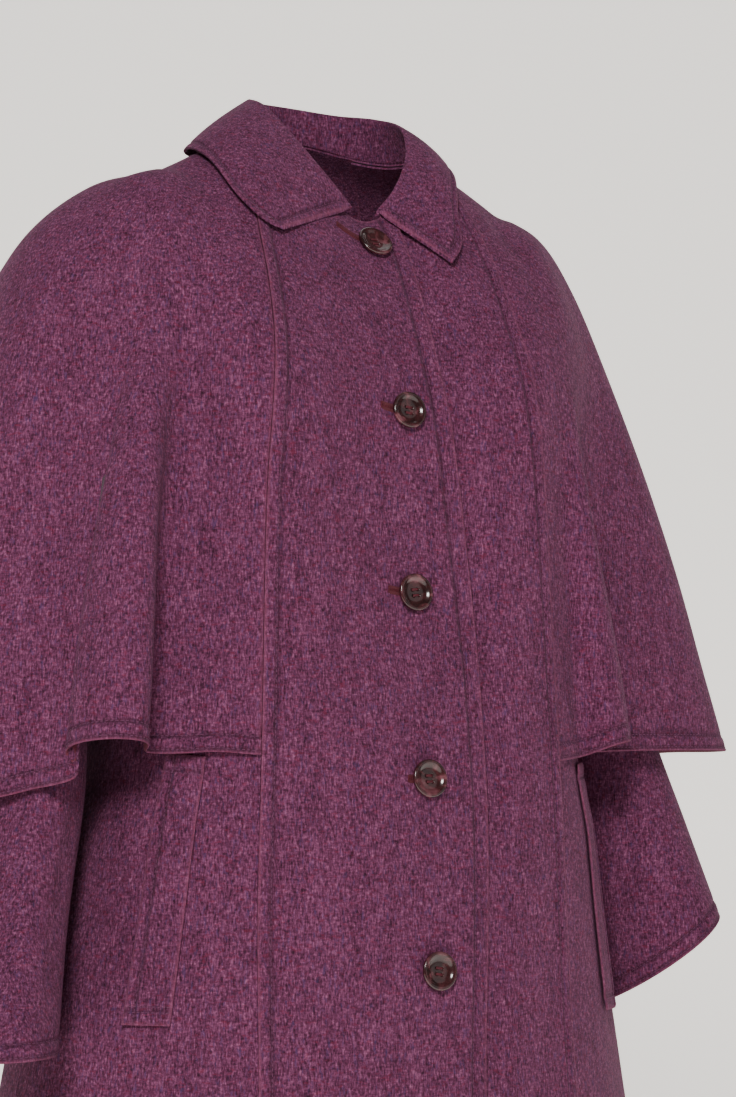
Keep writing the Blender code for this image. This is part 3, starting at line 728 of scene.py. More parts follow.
# Nap: loose fibres lying close to the cloth, each one a thin triangle
def napPiece(name, outer, normals, closed=False):
    look = napLook
    grid = np.concatenate([outer, outer[:, :1]], 1) if closed else outer
    ups = np.concatenate([normals, normals[:, :1]], 1) if closed else normals
    a, b, c = grid[:-1, :-1], grid[1:, :-1], grid[:-1, 1:]
    cell = np.linalg.norm(np.cross(b - a, c - a), axis=-1).ravel()
    count = int(min(look["most"], cell.sum() * look["perSquareMetre"]))
    chosen = rng.choice(len(cell), count, p=cell / cell.sum())
    u, v = rng.random((2, count, 1))
    a, b, c = a.reshape(-1, 3)[chosen], b.reshape(-1, 3)[chosen], c.reshape(-1, 3)[chosen]
    root = a + (b - a) * u + (c - a) * v
    up = ups[:-1, :-1].reshape(-1, 3)[chosen]
    lie = rng.normal(size=(count, 3)) + np.array([0, 0, -0.8])
    lie -= up * (lie * up).sum(1, keepdims=True)
    lie /= np.linalg.norm(lie, axis=1, keepdims=True)
    lift = rng.random((count, 1)) ** 2 * 0.5 + 0.08
    reach = look["length"] * (0.4 + 1.1 * rng.random((count, 1)))
    tip = root + (lie + up * lift) * reach
    side = np.cross(lie, up) * look["width"] * 0.5
    root = root + up * 0.00005
    vertices = np.stack([root - side, root + side, tip], 1).reshape(-1, 3)
    piece = makeMesh(name, vertices, np.arange(count * 3).reshape(-1, 3), [napWool])
    return finishPiece(piece)


napWool = woolFinish("wool_nap", paintEdgeLightAndGrooveShade=False)


# Cut size of a panel on the flat, from its own surface: widest row, longest column and area
def cutOf(outer, closed=False):
    grid = np.concatenate([outer, outer[:, :1]], 1) if closed else outer
    wide = runLengths(grid, 1)[0][:, -1].max()
    long = runLengths(grid, 0)[0][-1].max()
    a, b, c, d = grid[:-1, :-1], grid[1:, :-1], grid[:-1, 1:], grid[1:, 1:]
    upper = np.linalg.norm(np.cross(b - a, c - a), axis=-1)
    under = np.linalg.norm(np.cross(b - d, c - d), axis=-1)
    area = 0.5 * (upper + under).sum()
    return round(float(wide), 3), round(float(long), 3), round(float(area), 4)


# Soft folds: each is a trough or ridge along a straight line of the panel, from (row, column) to
# (row, column) as shares of the panel, of a width across it and a depth that fades at both ends
def softFolds(shape, folds):
    v, u = np.meshgrid(np.linspace(0, 1, shape[0]), np.linspace(0, 1, shape[1]), indexing="ij")
    relief = np.zeros(shape)
    for v0, u0, v1, u1, width, depth in folds:
        along = np.clip((v - v0) / (v1 - v0), 0, 1)
        off = u - (u0 + (u1 - u0) * along)
        inside = np.where((v > v0) & (v < v1), np.sin(math.pi * along) ** 0.7, 0.0)
        relief += depth * inside * np.exp(-((off / width) ** 2))
    return relief


# Directions evened out with their neighbours round the panel, so that a tight fold keeps its wall
def spreadOut(directions, closed):
    if closed:
        near, far = np.roll(directions, 1, axis=1), np.roll(directions, -1, axis=1)
    else:
        near = np.concatenate([directions[:, :1], directions[:, :-1]], 1)
        far = np.concatenate([directions[:, 1:], directions[:, -1:]], 1)
    total = near + directions + far
    return total / np.linalg.norm(total, axis=-1, keepdims=True)


# How a panel's edges are rounded off and how wide the painted highlight along them runs, in metres,
# and how evenly its inner face runs
edgeLook = {"turn": 0.0007, "depth": 0.0006, "highlightWidth": 0.0018, "evenings": 12}


# Cloth panel from its bare outer grid: relief goes along the normals, edges are rounded off
def clothPanel(name, bare, relief, edges, press, closed=False, lining=None, held="hung", restsOn=()):
    normals = gridNormals(bare, closed)
    near, far = runLengths(bare, 0)
    distances = {"top": near, "bottom": far}
    if not closed:
        left, right = runLengths(bare, 1)
        distances.update(left=left, right=right)
    closest = np.min([distances[key] for key in edges], axis=0)
    free = [distances[key] for key in edges if key == "bottom" or "pocket" in name]
    rounded = np.clip(np.min(free, axis=0) / (cloth * 0.5), 0, 1)
    shrink = cloth * 0.5 * (1 - np.sqrt(np.clip(1 - (1 - rounded) ** 2, 0, 1)))
    turned = np.clip(closest / edgeLook["turn"], 0, 1)
    turnedIn = edgeLook["depth"] * (1 - np.sqrt(np.clip(1 - (1 - turned) ** 2, 0, 1)))
    shrink = np.maximum(shrink, turnedIn)
    outer = bare + normals * (relief - shrink * 0.85)[..., None]
    calm = normals
    for _ in range(edgeLook["evenings"]):
        calm = spreadOut(calm, closed)
    inner = bare + normals * relief[..., None] - calm * (cloth * 0.8 - shrink * 0.85)[..., None]
    # Painted highlight: a lighter line along every edge, for light catching the rounded cloth, uneven
    # at random
    edge = np.exp(-((closest / edgeLook["highlightWidth"]) ** 2)) * (0.6 + 0.4 * rng.random(closest.shape))
    materials = [woolPlain, woolPlain] if lining is None else [woolPlain, facingRed, liningGrey]
    lined = None if lining is None else distances["bottom"] > lining
    meshName = name if name.endswith("_cloth") else name + "_cloth"
    piece = makeWall(meshName, outer, inner, materials, edge, press, closed, lined)
    wide, long, area = cutOf(bare, closed)
    nap = napPiece("nap_" + name, outer, normals, closed)
    print("cut", name, wide, long, area)
    finishPiece(piece)
    return piece, outer, normals, distances, (wide, long, min(area, wide * long), held, restsOn), nap


# The stitches of a panel, and its CAD node hidden
def declare(name, rows):
    sewn = stitchPiece(name, rows)
    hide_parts(name)


hemDistances = (0.003, 0.013)


# Stitched rows at the lower edge of a panel
def hemRows(outer, normals, lengths):
    return [stitchRow(*lineInside(outer, normals, lengths["bottom"], d, 0)) for d in hemDistances]


# Painted shade in the grooves of the stitched rows at a hem; it also sinks the bump there
def hemGrooveShade(bare):
    lower = runLengths(bare, 0)[1]
    return stitchGrooveShade(*[(lower, d) for d in hemDistances])


# Relief of a stitched hem: two grooves and the slight swell of the turned-up layer
def hemRelief(bare):
    lower = runLengths(bare, 0)[1]
    swell = 0.0004 * (1 - ease(lower, 0.012, 0.015))
    return groove(lower, hemDistances[0], 0.0005) + groove(lower, hemDistances[1]) + swell


# Painted shade in the grooves of rows of stitches at these (distance, place) pairs, from 0 to 1; it
# also sinks the bump there
def stitchGrooveShade(*rows):
    return np.max([np.exp(-(((distance - at) / 0.0014) ** 2)) for distance, at in rows], axis=0)


# Groove that a row of stitches presses in, and the slight swell of the layers beside it
def groove(distance, at, depth=0.0010, width=0.0017):
    return -depth * np.exp(-(((distance - at) / width) ** 2))


seamSide = {
    "edgeSteps": np.array([
        0, 0.5, 1.2, 2, 2.8, 3.6, 5, 7, 8.6, 9.4, 10.2, 11, 11.8, 12.6, 13.4, 14.5, 16,
    ]) / 1000,
    "middle": 30,
    "rows": 150,
}
frontStitch = {"edge": 0.012, "band": 0.0095}
hemSteps = np.array([
    0, 0.6, 1.4, 2.2, 3.0, 3.8, 4.8, 6.4, 8.4, 10.6, 11.8, 12.6, 13.4, 14.4, 16, 18.5,
])[::-1] / 1000


# Sections of a panel: even down to near the hem, then the fine steps of its stitched edge
def fineSections(first, last, count, metresPerSection):
    low = last - hemSteps / metresPerSection
    return np.concatenate([np.linspace(first, low[0], count)[:-1], low])


def radiusAt(s, angle):
    point = bodyPoint(s, angle)
    return np.hypot(point[..., 0], point[..., 1] - smooth(s, bodyRings["s"], bodyRings["centreY"]))


def frontPanel(side):
    name = "front_right" if side < 0 else "front_left"
    s = fineSections(0.0, hemSection, seamSide["rows"], 0.178)
    seam = frontSeam(s) - gapAngle(s, frontSeam(s))
    overlap = smooth(s, seamLines["s"], seamLines["overlap"])
    edge = -angleAt(s, overlap)
    radius = radiusAt(s, seam)
    edgeRadius = radiusAt(s, edge)
    steps = seamSide["edgeSteps"]
    first = edge[:, None] + steps / edgeRadius[:, None]
    last = seam[:, None] - steps[::-1] / radius[:, None]
    share = np.linspace(0, 1, seamSide["middle"])[1:-1]
    middle = first[:, -1:] * (1 - share) + last[:, :1] * share
    angles = np.concatenate([first, middle, last], 1)
    grid = np.broadcast_to(s[:, None], angles.shape)
    fromSeam = (seam[:, None] - angles) * radius[:, None]
    fromEdge = (angles - edge[:, None]) * edgeRadius[:, None]
    relief = weltRaise * 1.2 * (1 - ease(fromSeam, weltBand - 0.0004, weltBand + 0.0014))
    relief = relief + groove(fromSeam, frontStitch["band"], 0.0011, 0.0015)
    if side < 0:
        relief = relief + groove(fromEdge, frontStitch["edge"], 0.0013, 0.0016)
        relief = relief + 0.0007 * (1 - ease(fromEdge, 0.010, 0.014))
        relief = relief + softFolds(angles.shape, frontFolds)
    else:
        x = bodyPoint(grid, angles)[..., 0]
        relief = relief - layerStep * (1 - ease(x - overlap[:, None], 0.004, 0.030))
        relief = relief + softFolds(angles.shape, frontFoldsLeft)
    signed = -angles[:, ::-1] if side < 0 else angles
    relief = relief[:, ::-1] if side < 0 else relief
    bare = bodyPoint(grid, signed)
    lines = [(fromSeam, frontStitch["band"])]
    if side < 0:
        lines.append((fromEdge, frontStitch["edge"]))
    # Painted shade along the stitched rows of the front
    press = stitchGrooveShade(*lines)
    press = np.maximum(press[:, ::-1] if side < 0 else press, hemGrooveShade(bare))
    edges = ("bottom", "left", "right", "top")
    piece, outer, normals, lengths, cut, nap = clothPanel(name, bare, relief, edges, press)
    seamKey, edgeKey = ("left", "right") if side < 0 else ("right", "left")
    rows = [stitchRow(*lineInside(outer, normals, lengths[seamKey], frontStitch["band"], 1))]
    if side < 0:
        rows.append(stitchRow(*lineInside(outer, normals, lengths[edgeKey], frontStitch["edge"], 1)))
    rows += hemRows(outer, normals, lengths)
    declare(name, rows)
    return outer, normals


frontFolds = [
    (0.30, 0.62, 1.0, 0.66, 0.10, -0.0016),
    (0.42, 0.25, 0.98, 0.20, 0.08, 0.0014),
    (0.05, 0.75, 0.30, 0.86, 0.10, -0.0010),
]
frontFoldsLeft = [(0.35, 0.55, 0.98, 0.62, 0.10, -0.0014), (0.10, 0.70, 0.40, 0.80, 0.08, 0.0010)]
sideFolds = [(0.55, 0.45, 1.0, 0.50, 0.16, -0.0018), (0.62, 0.80, 0.98, 0.84, 0.12, 0.0016)]
backFolds = [
    (0.40, 0.30, 1.0, 0.24, 0.09, 0.0022),
    (0.45, 0.68, 0.98, 0.74, 0.10, 0.0020),
    (0.50, 0.50, 0.97, 0.49, 0.08, -0.0018),
]


def underCape(s):
    return -(layerStep - 0.0002) * (1 - ease(s, capeHemSection + 0.15, capeHemSection + 0.7))


def sidePanel(side, front):
    name = ("side_front_" if front else "side_back_") + ("right" if side < 0 else "left")
    shoulder, arm = np.linspace(0, 3, 16)[:-1], np.linspace(3, 6, 40)[:-1]
    s = np.concatenate([shoulder, arm, fineSections(6.0, hemSection, 90, 0.178)])
    column = "frontDeg" if front else "backDeg"
    end = np.interp(s, armholeEdge["s"], np.radians(armholeEdge[column]))
    seam = frontSeam(s) if front else backSeam(s)
    halfGap = gapAngle(s, seam)
    first, last = (seam + halfGap, end - halfGap) if front else (end + halfGap, seam - halfGap)
    share = np.linspace(0, 1, 44)
    angles = first[:, None] * (1 - share) + last[:, None] * share
    grid = np.broadcast_to(s[:, None], angles.shape)
    signed = -angles[:, ::-1] if side < 0 else angles
    bare = bodyOffset(grid, signed, underCape(grid))
    relief = softFolds(angles.shape, sideFolds)
    press = hemGrooveShade(bare)
    piece, outer, normals, lengths, cut, nap = clothPanel(name, bare, relief, ("bottom",), press)
    rows = hemRows(outer, normals, lengths)
    declare(name, rows)


def backPanel():
    s = fineSections(0.0, hemSection, 130, 0.178)
    seam = backSeam(s)
    first = seam + gapAngle(s, seam)
    share = np.linspace(0, 1, 64)
    angles = first[:, None] * (1 - share) + (2 * math.pi - first)[:, None] * share
    bare = bodyPoint(np.broadcast_to(s[:, None], angles.shape), angles)
    fromSeam = np.minimum(*runLengths(bare, 1))
    relief = weltRaise * 0.6 * (1 - ease(fromSeam, 0.009, 0.0125))
    relief = relief + groove(fromSeam, frontStitch["band"], 0.0005)
    relief = relief + softFolds(angles.shape, backFolds)
    # Painted shade along the stitched rows of the back
    press = np.maximum(stitchGrooveShade((fromSeam, frontStitch["band"])), hemGrooveShade(bare))
    edges = ("bottom", "left", "right")
    piece, outer, normals, lengths, cut, nap = clothPanel("back", bare, relief, edges, press)
    rows = hemRows(outer, normals, lengths)
    for key in ("left", "right"):
        rows.append(stitchRow(*lineInside(outer, normals, lengths[key], frontStitch["band"], 1)))
    declare("back", rows)


capeFacts = {"rows": 110, "columns": 190, "facing": 0.030}
capeFolds = {
    -1: [
        (0.30, 0.37, 0.98, 0.38, 0.06, -0.0070),
        (0.20, 0.17, 1.0, 0.10, 0.07, -0.0085),
        (0.12, 0.42, 0.60, 0.47, 0.05, -0.0024),
        (0.45, 0.62, 0.98, 0.66, 0.05, 0.0020),
        (0.08, 0.30, 0.42, 0.36, 0.05, 0.0016),
    ],
    1: [
        (0.30, 0.28, 0.97, 0.34, 0.05, -0.0026),
        (0.40, 0.52, 0.95, 0.56, 0.06, 0.0022),
        (0.15, 0.16, 0.45, 0.12, 0.05, -0.0016),
    ],
}


def capePanel(side):
    name = "cape_right" if side < 0 else "cape_left"
    s = fineSections(0.0, capeHemSection, capeFacts["rows"], 0.11)
    places = np.linspace(0.0004, 0.9996, capeFacts["columns"])
    grid, along = np.meshgrid(s, places, indexing="ij")
    bare = capePoint(side, grid, along)
    relief = softFolds(grid.shape, capeFolds[side]) * ease(along, 0.0, 0.05)
    relief = relief * ease(1 - along, 0.0, 0.05)
    if side < 0:
        bare, relief = bare[:, ::-1], relief[:, ::-1]
    relief = relief + hemRelief(bare)
    edges = ("bottom", "left", "right")
    piece, outer, normals, lengths, cut, nap = clothPanel(
        name,
        bare,
        relief,
        edges,
        hemGrooveShade(bare),
        lining=capeFacts["facing"],
        held="draped",
        restsOn=[name.replace("cape", "sleeve")],
    )
    rows = hemRows(outer, normals, lengths)
    declare(name, rows)


sleeveFacts = {"round": 110, "headRows": 30, "rows": 80, "facing": 0.035}
sleeveFolds = {
    -1: [
        (0.45, 0.20, 0.98, 0.24, 0.030, 0.0024),
        (0.50, 0.34, 0.96, 0.31, 0.035, -0.0026),
        (0.55, 0.60, 0.97, 0.63, 0.04, 0.0020),
    ],
    1: [
        (0.45, 0.20, 0.98, 0.24, 0.030, 0.0022),
        (0.48, 0.40, 0.97, 0.38, 0.035, -0.0028),
        (0.60, 0.70, 0.97, 0.66, 0.04, 0.0020),
    ],
}


# Sleeve: cubic Bezier curves from the armhole out to the first section, then sections to the hem
def sleevePiece(side):
    name = "sleeve_right" if side < 0 else "sleeve_left"
    count = sleeveFacts["round"]
    sections = sleeveRight if side < 0 else sleeveLeft
    top, bottom = sections["z"][0], sections["z"][-1]
    out = np.array([side, 0.0, 0.0])
    hole = armholeLoop(side, float(underCape(4.0)), count) + out * seamGap * 2
    first = sleeveRing(side, top, count)
    reach = np.linalg.norm(first - hole, axis=-1, keepdims=True)
    lead = hole + out * reach * sleeveHead
    arrive = first + np.array([0, 0, 1.0]) * reach * 0.36
    t = np.linspace(0, 1, sleeveFacts["headRows"])[:-1, None, None]
    head = (1 - t) ** 3 * hole + 3 * (1 - t) ** 2 * t * lead
    head = head + 3 * (1 - t) * t**2 * arrive + t**3 * first
    low = bottom + hemSteps
    heights = np.concatenate([np.linspace(top, low[0], sleeveFacts["rows"])[:-1], low])
    bare = np.concatenate([head, np.stack([sleeveRing(side, z, count) for z in heights])])
    if side > 0:
        bare = bare[:, ::-1]
    relief = softFolds(bare.shape[:2], sleeveFolds[side]) + hemRelief(bare)
    piece, outer, normals, lengths, cut, nap = clothPanel(
        name,
        bare,
        relief,
        ("bottom",),
        hemGrooveShade(bare),
        closed=True,
        lining=sleeveFacts["facing"],
    )
    rows = []
    for distance in hemDistances:
        line, normal = lineInside(outer, normals, lengths["bottom"], distance, 0)
        rows.append(stitchRow(np.concatenate([line, line[:1]]), np.concatenate([normal, normal[:1]])))
    declare(name, rows)


collarFacts = {"stations": 240, "outline": 110, "stitch": 0.0075}


# Collar: the outline of a station goes up the stand, over the fold and down the fall and back;
# stations run from the right front end round the neck to the left front end
def collarPiece():
    half = np.linspace(0, 1, collarFacts["stations"] // 2 + 1)
    q = np.concatenate([half, half[-2::-1]])
    side = np.where(np.arange(len(q)) < len(half), -1.0, 1.0)
    at = {key: smooth(q, collarLine["q"], values) for key, values in collarLine.items()}
    foot = bodyPoint(np.zeros(len(q)), np.radians(at["neckDeg"])) + np.array([0, 0, collarFoot])
    roll = np.stack([at["rollX"], at["rollY"], at["rollZ"]], -1)
    edge = bodyOffset(
        at["edgeS"] - side * at["leanS"],
        np.radians(at["edgeDeg"] - side * at["leanDeg"]),
        np.full(len(q), collarRest + cloth / 2),
    )
    away = edge - roll
    level = away * np.array([1, 1, 0])
    level /= np.linalg.norm(level, axis=1, keepdims=True)
    reach = np.linalg.norm(away, axis=1, keepdims=True)
    fall = away / reach
    face = np.cross(np.cross(fall, level), fall)
    face /= np.linalg.norm(face, axis=1, keepdims=True)
    face = np.where(face[:, 2:] > 0, face, -face)
    bow = at["bow"][:, None]
    stand = roll - foot
    mirror = np.stack([side, np.ones(len(q)), np.ones(len(q))], -1)
    rings, channel = [], []
    for u in (0.0, 0.5, 0.92):
        rings.append(foot + stand * u - level * (cloth * 0.5))
        channel.append(-0.3)
    rings.append(roll - level * cloth * 0.4 + face * cloth * 0.7)
    channel.append(-0.05)
    for u in (0.12, 0.25, 0.4, 0.55, 0.7, 0.85, 0.985):
        rings.append(roll + away * u + face * (cloth * 0.6 + bow * 4 * u * (1 - u)))
        channel.append(u)
    rings.append(roll + away * 1.0 + face * cloth * 0.1)
    channel.append(2.0)
    for u in (0.985, 0.85, 0.7, 0.55, 0.4, 0.25, 0.12):
        rings.append(roll + away * u + face * (-cloth * 0.4 + bow * 4 * u * (1 - u)))
        channel.append(3.0)
    for u in (0.80, 0.4, 0.0):
        rings.append(foot + stand * u + level * (cloth * 0.5))
        channel.append(3.0)
    outline = np.stack(rings, 1) * mirror[:, None, :]
    u = np.array(channel)
    knots = np.arange(len(rings) + 1)
    fine = np.linspace(0, len(rings), collarFacts["outline"] * 2, endpoint=False)
    looped = np.concatenate([outline, outline[:, :1]], 1)
    points = resample(looped, knots, fine)
    share = np.interp(fine, np.arange(len(u)), u)
    onFall = (share > 0.02) & (share < 0.99) & (fine < 11)
    toEdge = (1 - share)[None, :] * reach
    along = runLengths(points, 0)
    toEnd = np.minimum(along[0], along[1])
    closest = np.minimum(toEdge, toEnd)
    towards = gridNormals(points, True)
    if (towards[len(q) // 2, onFall] @ np.array([0, 0, 1.0])).mean() < 0:
        towards = -towards
    relief = np.where(onFall[None, :], groove(closest, collarFacts["stitch"], 0.0009, 0.0014), 0.0)
    points = points + towards * relief[..., None]
    edgeGlow = np.exp(-((np.where(onFall[None, :], closest, 1.0) / 0.0016) ** 2))
    n, m = points.shape[:2]
    faces = tubeFaces(n, m).tolist()
    faces += [list(range(m)), list(range(n * m - 1, (n - 1) * m - 1, -1))]
    mesh = bpy.data.meshes.new("collar_cloth")
    mesh.from_pydata(points.reshape(-1, 3).tolist(), [], faces)
    mesh.materials.append(woolPlain)
    mesh.shade_smooth()
    mesh.set_sharp_from_angle(angle=math.radians(60))
    # Painted shade in the stitch groove of the fall; edgeGlow is a painted highlight along its edges
    press = np.where(onFall[None, :], stitchGrooveShade((closest, collarFacts["stitch"])), 0.0)
    for key, paintedLightAndShade in (("edge", edgeGlow), ("press", press)):
        layer = mesh.attributes.new(key, "FLOAT", "POINT")
        layer.data.foreach_set("value", paintedLightAndShade.ravel().astype(np.float32))
    cleaned(mesh)
    piece = finishPiece(placed("collar_cloth", mesh))
    index = np.flatnonzero(onFall)
    grid, ups = points[:, index], towards[:, index]
    edgeLine = lineInside(grid, ups, toEdge[:, index] + np.zeros((n, 1)), collarFacts["stitch"], 1)
    keep = (toEnd[:, index[0]] > collarFacts["stitch"])
    rows = [stitchRow(edgeLine[0][keep], edgeLine[1][keep])]
    for lengths in along:
        line = lineInside(grid, ups, lengths[:, index], collarFacts["stitch"], 0)
        inside = (1 - share[index]) * reach[0] > collarFacts["stitch"]
        rows.append(stitchRow(line[0][inside], line[1][inside]))
    sewn = stitchPiece("collar", rows)
    nap = napPiece("nap_collar", grid, ups)
    total = cutOf(points, True)[2] / 2
    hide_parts("collar")


# Cubic curve through the knots of each station, as whole arrays
def resample(values, knots, at):
    slopes = np.gradient(values, axis=1)
    slopes[:, 0] = slopes[:, -1] = (values[:, 1] - values[:, -2]) / 2
    low = np.clip(np.floor(at).astype(int), 0, len(knots) - 2)
    u = (at - low)[None, :, None]
    return (
        (2 * u**3 - 3 * u**2 + 1) * values[:, low]
        + (u**3 - 2 * u**2 + u) * slopes[:, low]
        + (3 * u**2 - 2 * u**3) * values[:, low + 1]
        + (u**3 - u**2) * slopes[:, low + 1]
    )


weltFacts = {"lift": 0.0006, "stitch": 0.008, "bars": (0.009, 0.013), "columns": 40}


def pocketWelt(side):
    name = "pocket_welt_right" if side < 0 else "pocket_welt_left"
    s = np.linspace(weltTopS, weltBottomS, 110)
    share = (s - weltTopS) / (weltBottomS - weltTopS)
    first = np.radians(weltTopFrom + (weltBottomFrom - weltTopFrom) * share)
    last = np.radians(weltTopTo + (weltBottomTo - weltTopTo) * share)
    places = np.linspace(0, 1, weltFacts["columns"])
    angles = first[:, None] * (1 - places) + last[:, None] * places
    grid = np.broadcast_to(s[:, None], angles.shape)
    signed = -angles[:, ::-1] if side < 0 else angles
    bare = bodyOffset(grid, signed, underCape(grid) + weltFacts["lift"] + cloth)
    left, right = runLengths(bare, 1)
    top, bottom = runLengths(bare, 0)
    openSide = left if side < 0 else right
    relief = groove(openSide, weltFacts["stitch"], 0.0008, 0.0014)
    relief = relief + groove(np.minimum(top, bottom), 0.011, 0.0007, 0.003)
    relief = relief + 0.0006 * np.exp(-(((openSide - 0.003) / 0.003) ** 2))
    piece, outer, normals, lengths, cut, nap = clothPanel(
        name + "_cloth",
        bare,
        relief,
        ("top", "bottom", "left", "right"),
        stitchGrooveShade((openSide, weltFacts["stitch"]), (np.minimum(top, bottom), 0.011)),
        held="laid",
        restsOn=[name.replace("pocket_welt", "side_front")],
    )
    key = "left" if side < 0 else "right"
    rows = [stitchRow(*lineInside(outer, normals, lengths[key], weltFacts["stitch"], 1))]
    for end in ("top", "bottom"):
        for distance in weltFacts["bars"]:
            rows.append(stitchRow(*lineInside(outer, normals, lengths[end], distance, 0)))
    declare(name, rows)


buttonShape = {
    "steps": 72, "topRings": 26, "lift": 0.0010, "thread": 0.0005,
    "holeSpread": 0.0022, "holeDepth": 0.0017, "holeFloor": 0.0006, "holeRim": 0.0015,
}
# Profile of the button from the middle of the top over the rim to the middle of the underside,
# as shares of the radius and of the thickness
buttonProfile = np.array([
    (0, 0.46), (0.06, 0.46), (0.12, 0.46), (0.18, 0.46), (0.24, 0.46), (0.30, 0.465), (0.36, 0.47),
    (0.46, 0.49), (0.58, 0.56), (0.66, 0.66), (0.72, 0.80), (0.78, 0.91), (0.84, 0.98), (0.90, 1.0),
    (0.95, 0.97), (0.985, 0.86), (1.0, 0.66), (0.985, 0.42), (0.93, 0.26), (0.8, 0.12),
    (0.55, 0.02), (0.3, 0.0), (0.001, 0.0),
])


# Turned button: a profile of (radius, height) swept round, sunk at four holes with thread across
def buttonPiece(number):
    z = buttonFacts["firstZ"] - buttonFacts["spacing"] * (number - 1)
    s = sectionAtHeight(z)
    place = bodyPoint(s, 0.0)
    normal = normalsOf(bodyPoint, np.array(s), np.array(0.0))
    half, thick = buttonFacts["diameter"] / 2, buttonFacts["thickness"]
    r, h = buttonProfile.T
    inner = np.linspace(0, r[7], buttonShape["topRings"])
    h = np.concatenate([np.interp(inner, r[:8], h[:8]), h[8:]])
    r = np.concatenate([inner, r[8:]])
    turn = np.linspace(0, 2 * math.pi, buttonShape["steps"], endpoint=False)
    x, y = r[:, None] * half * np.cos(turn), r[:, None] * half * np.sin(turn)
    height = np.broadcast_to((h * thick)[:, None], x.shape).copy()
    spread = buttonShape["holeSpread"]
    top = (np.arange(len(r)) < buttonShape["topRings"])[:, None]
    for dx in (-1, 1):
        for dy in (-1, 1):
            away = np.hypot(x - dx * spread, y - dy * spread)
            sunk = 1 - ease(away, buttonShape["holeFloor"], buttonShape["holeRim"])
            height -= np.where(top, buttonShape["holeDepth"] * sunk, 0)
    up = np.array([0, 0, 1.0])
    across = np.cross(up, normal)
    across /= np.linalg.norm(across)
    rise = np.cross(normal, across)
    tilt = math.radians((4, -6, 9, 2, -8, 5)[number - 1])
    ax = across * math.cos(tilt) + rise * math.sin(tilt)
    ay = rise * math.cos(tilt) - across * math.sin(tilt)
    points = place + normal * buttonShape["lift"] + x[..., None] * ax
    points = points + y[..., None] * ay + height[..., None] * normal
    n, m = x.shape
    faces = tubeFaces(n, m).tolist() + [list(range((n - 1) * m, n * m))]
    mesh = bpy.data.meshes.new(f"button_{number}_shell")
    mesh.from_pydata(points.reshape(-1, 3).tolist(), [], faces)
    cleaned(mesh, 0.000001)
    mesh.materials.append(buttonFinish(f"button_{number}_shine", number))
    mesh.shade_smooth()
    piece = finishPiece(placed(f"button_{number}_shell", mesh))
    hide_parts(f"button_{number}")
    rows = []
    level = normal * (thick * h[0] + buttonShape["lift"])
    for dy in (-1, 1):
        for offset in (-0.0004, 0.0004):
            t = np.linspace(-1, 1, 9)[:, None]
            arch = normal * (0.0006 * (1 - t**4) - 0.0004)
            line = place + level + ax * t * spread * 1.15 + ay * (dy * spread + offset) + arch
            rows.append(threadTube(line, normal, buttonShape["thread"]))
    finishPiece(joined(f"button_{number}_thread", rows, threadWine))
    if number <= len(holeReach):
        buttonhole(number, s)


# Tube of thread along a line: a circle carried along it
def threadTube(line, up, radius, sides=8):
    along = np.gradient(line, axis=0)
    along /= np.linalg.norm(along, axis=1, keepdims=True)
    side = np.cross(along, up)
    side /= np.linalg.norm(side, axis=1, keepdims=True)
    over = np.cross(side, along)
    turn = np.linspace(0, 2 * math.pi, sides, endpoint=False)[:, None]
    ring = line[:, None] + radius * (np.cos(turn) * side[:, None] + np.sin(turn) * over[:, None])
    return ring.reshape(-1, 3), tubeFaces(len(line), sides)[:, [0, 3, 2, 1]]


holeShape = {"gap": 0.0008, "stitch": 0.0022, "count": 26, "start": 0.004}
# How far each buttonhole shows beside its button
holeReach = (0.029, 0.021, 0.020, 0.015)


# Worked buttonhole: a ring of short bars across the slit, from behind the button outwards
def buttonhole(number, s):
    starts = np.linspace(holeShape["start"], holeReach[number - 1], holeShape["count"])
    angles = -starts / radiusAt(s, 0.0)
    rows = []
    for dz in (-1, 1):
        centre = bodyOffset(np.full(len(starts), s), angles, np.full(len(starts), 0.0002))
        up = normalsOf(bodyPoint, np.full(len(starts), s), angles)
        for point, lift in zip(centre, up):
            t = np.linspace(0, 1, 4)[:, None]
            rise = np.array([0, 0, dz * 1.0])
            arch = lift * (0.0004 * np.sin(math.pi * t))
            line = point + rise * (holeShape["gap"] + holeShape["stitch"] * t) + arch
            rows.append(threadTube(line, lift, 0.00042, 6))
    ends = bodyOffset(
        np.full(5, s),
        np.full(5, angles[-1] - 0.0009 / radiusAt(s, 0.0)),
        np.full(5, 0.0004),
    )
    ends = ends + np.linspace(-0.0026, 0.0026, 5)[:, None] * np.array([0, 0, 1.0])
    rows.append(threadTube(ends, normalsOf(bodyPoint, s, angles[-1]), 0.0007, 6))
    slit = bodyOffset(np.full(9, s), np.linspace(angles[0], angles[-1], 9), np.full(9, 0.0001))
    rows.append(threadTube(slit, normalsOf(bodyPoint, s, 0.0), 0.0008, 6))
    finishPiece(joined(f"buttonhole_{number}", rows, threadWine))


frontPanel(-1)
frontPanel(1)
print("fronts made")
for side in (-1, 1):
    sidePanel(side, True)
    sidePanel(side, False)
    capePanel(side)
    sleevePiece(side)
    pocketWelt(side)
print("sides, capes, sleeves and welts made")
backPanel()
collarPiece()
print("back and collar made")
for number in range(1, buttonFacts["count"] + 1):
    buttonPiece(number)
print("buttons made")

studio = {
    "floorZ": -1.5, "wall": 2.6, "key": 100.0, "fill": 7.0, "top": 10.0, "world": 0.10, "glow": 1.15,
}


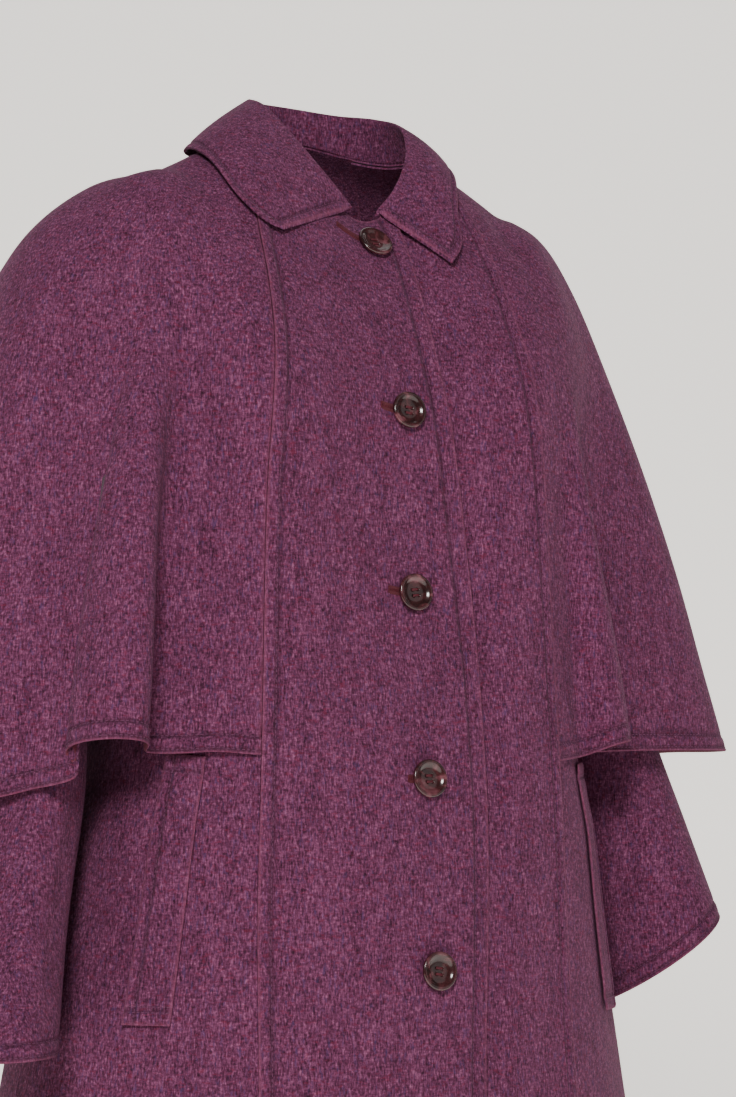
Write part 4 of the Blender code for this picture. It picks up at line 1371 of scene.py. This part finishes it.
def ground():
    # floor and wall in one sweep, along the view: flat, a quarter circle, then upright
    f = Finish("backdrop")
    where = f.place((1.0, 1.0, 1.0))
    cloud = f.noise(where, 1.2, 2.0)
    f.feed("Base Color", f.mix(cloud, rgba(226, 222, 216), rgba(232, 229, 224)))
    f.feed("Roughness", 0.95)
    f.feed("Emission Color", rgba(236, 231, 226))
    f.feed("Emission Strength", studio["glow"])
    forward = np.array([0.5, 0.866, 0.0])
    right = np.array([0.866, -0.5, 0.0])
    bend = np.linspace(0, math.pi / 2, 16)
    run = np.concatenate([[-4.0], studio["wall"] - 1.0 + np.sin(bend), [studio["wall"]]])
    rise = np.concatenate([[0.0], 1.0 - np.cos(bend), [5.0]]) + studio["floorZ"]
    width = np.linspace(-5, 5, 5)
    points = run[:, None, None] * forward + width[None, :, None] * right
    points = points + rise[:, None, None] * np.array([0, 0, 1.0])
    n, m = points.shape[:2]
    i, j = np.meshgrid(np.arange(n - 1), np.arange(m - 1), indexing="ij")
    i, j = i.ravel(), j.ravel()
    faces = np.stack([i * m + j, i * m + j + 1, (i + 1) * m + j + 1, (i + 1) * m + j], 1)
    makeMesh("backdrop", points.reshape(-1, 3), faces, [f.material])


def areaLight(name, place, target, size, power, colour=(1, 1, 1)):
    lamp = bpy.data.lights.new(name, "AREA")
    lamp.shape = "RECTANGLE"
    lamp.size, lamp.size_y = size
    lamp.energy = power
    lamp.color = colour
    holder = placed(name, lamp)
    holder.location = place
    holder.rotation_euler = (Vector(target) - Vector(place)).to_track_quat("-Z", "Y").to_euler()


ground()
areaLight("key", (-1.9, -2.6, 1.1), (0, 0, -0.5), (0.9, 0.9), studio["key"], (1.0, 0.985, 0.96))
areaLight("fill", (1.9, -2.6, 0.3), (0, 0, -0.5), (2.0, 2.4), studio["fill"])
areaLight("top", (0.2, 0.6, 2.2), (0, 0.1, -0.3), (2.0, 2.0), studio["top"])
world = bpy.data.worlds.new("studio")
world.use_nodes = True
world.node_tree.nodes["Background"].inputs["Color"].default_value = (1.0, 0.99, 0.97, 1.0)
world.node_tree.nodes["Background"].inputs["Strength"].default_value = studio["world"]
bpy.context.scene.world = world

cameraFacts = {"place": (-0.978, -1.7447, -0.555), "pitch": 96.7, "turn": -30.0, "lens": 127.17}
lens = bpy.data.cameras.new("photo_camera")
lens.sensor_fit = "HORIZONTAL"
lens.sensor_width = 36.0
lens.lens = cameraFacts["lens"]
lens.clip_start = 0.05
viewer = placed("photo_camera", lens)
viewer.location = cameraFacts["place"]
viewer.rotation_euler = (math.radians(cameraFacts["pitch"]), 0, math.radians(cameraFacts["turn"]))
bpy.context.scene.camera = viewer
print("stage, lights and camera set")
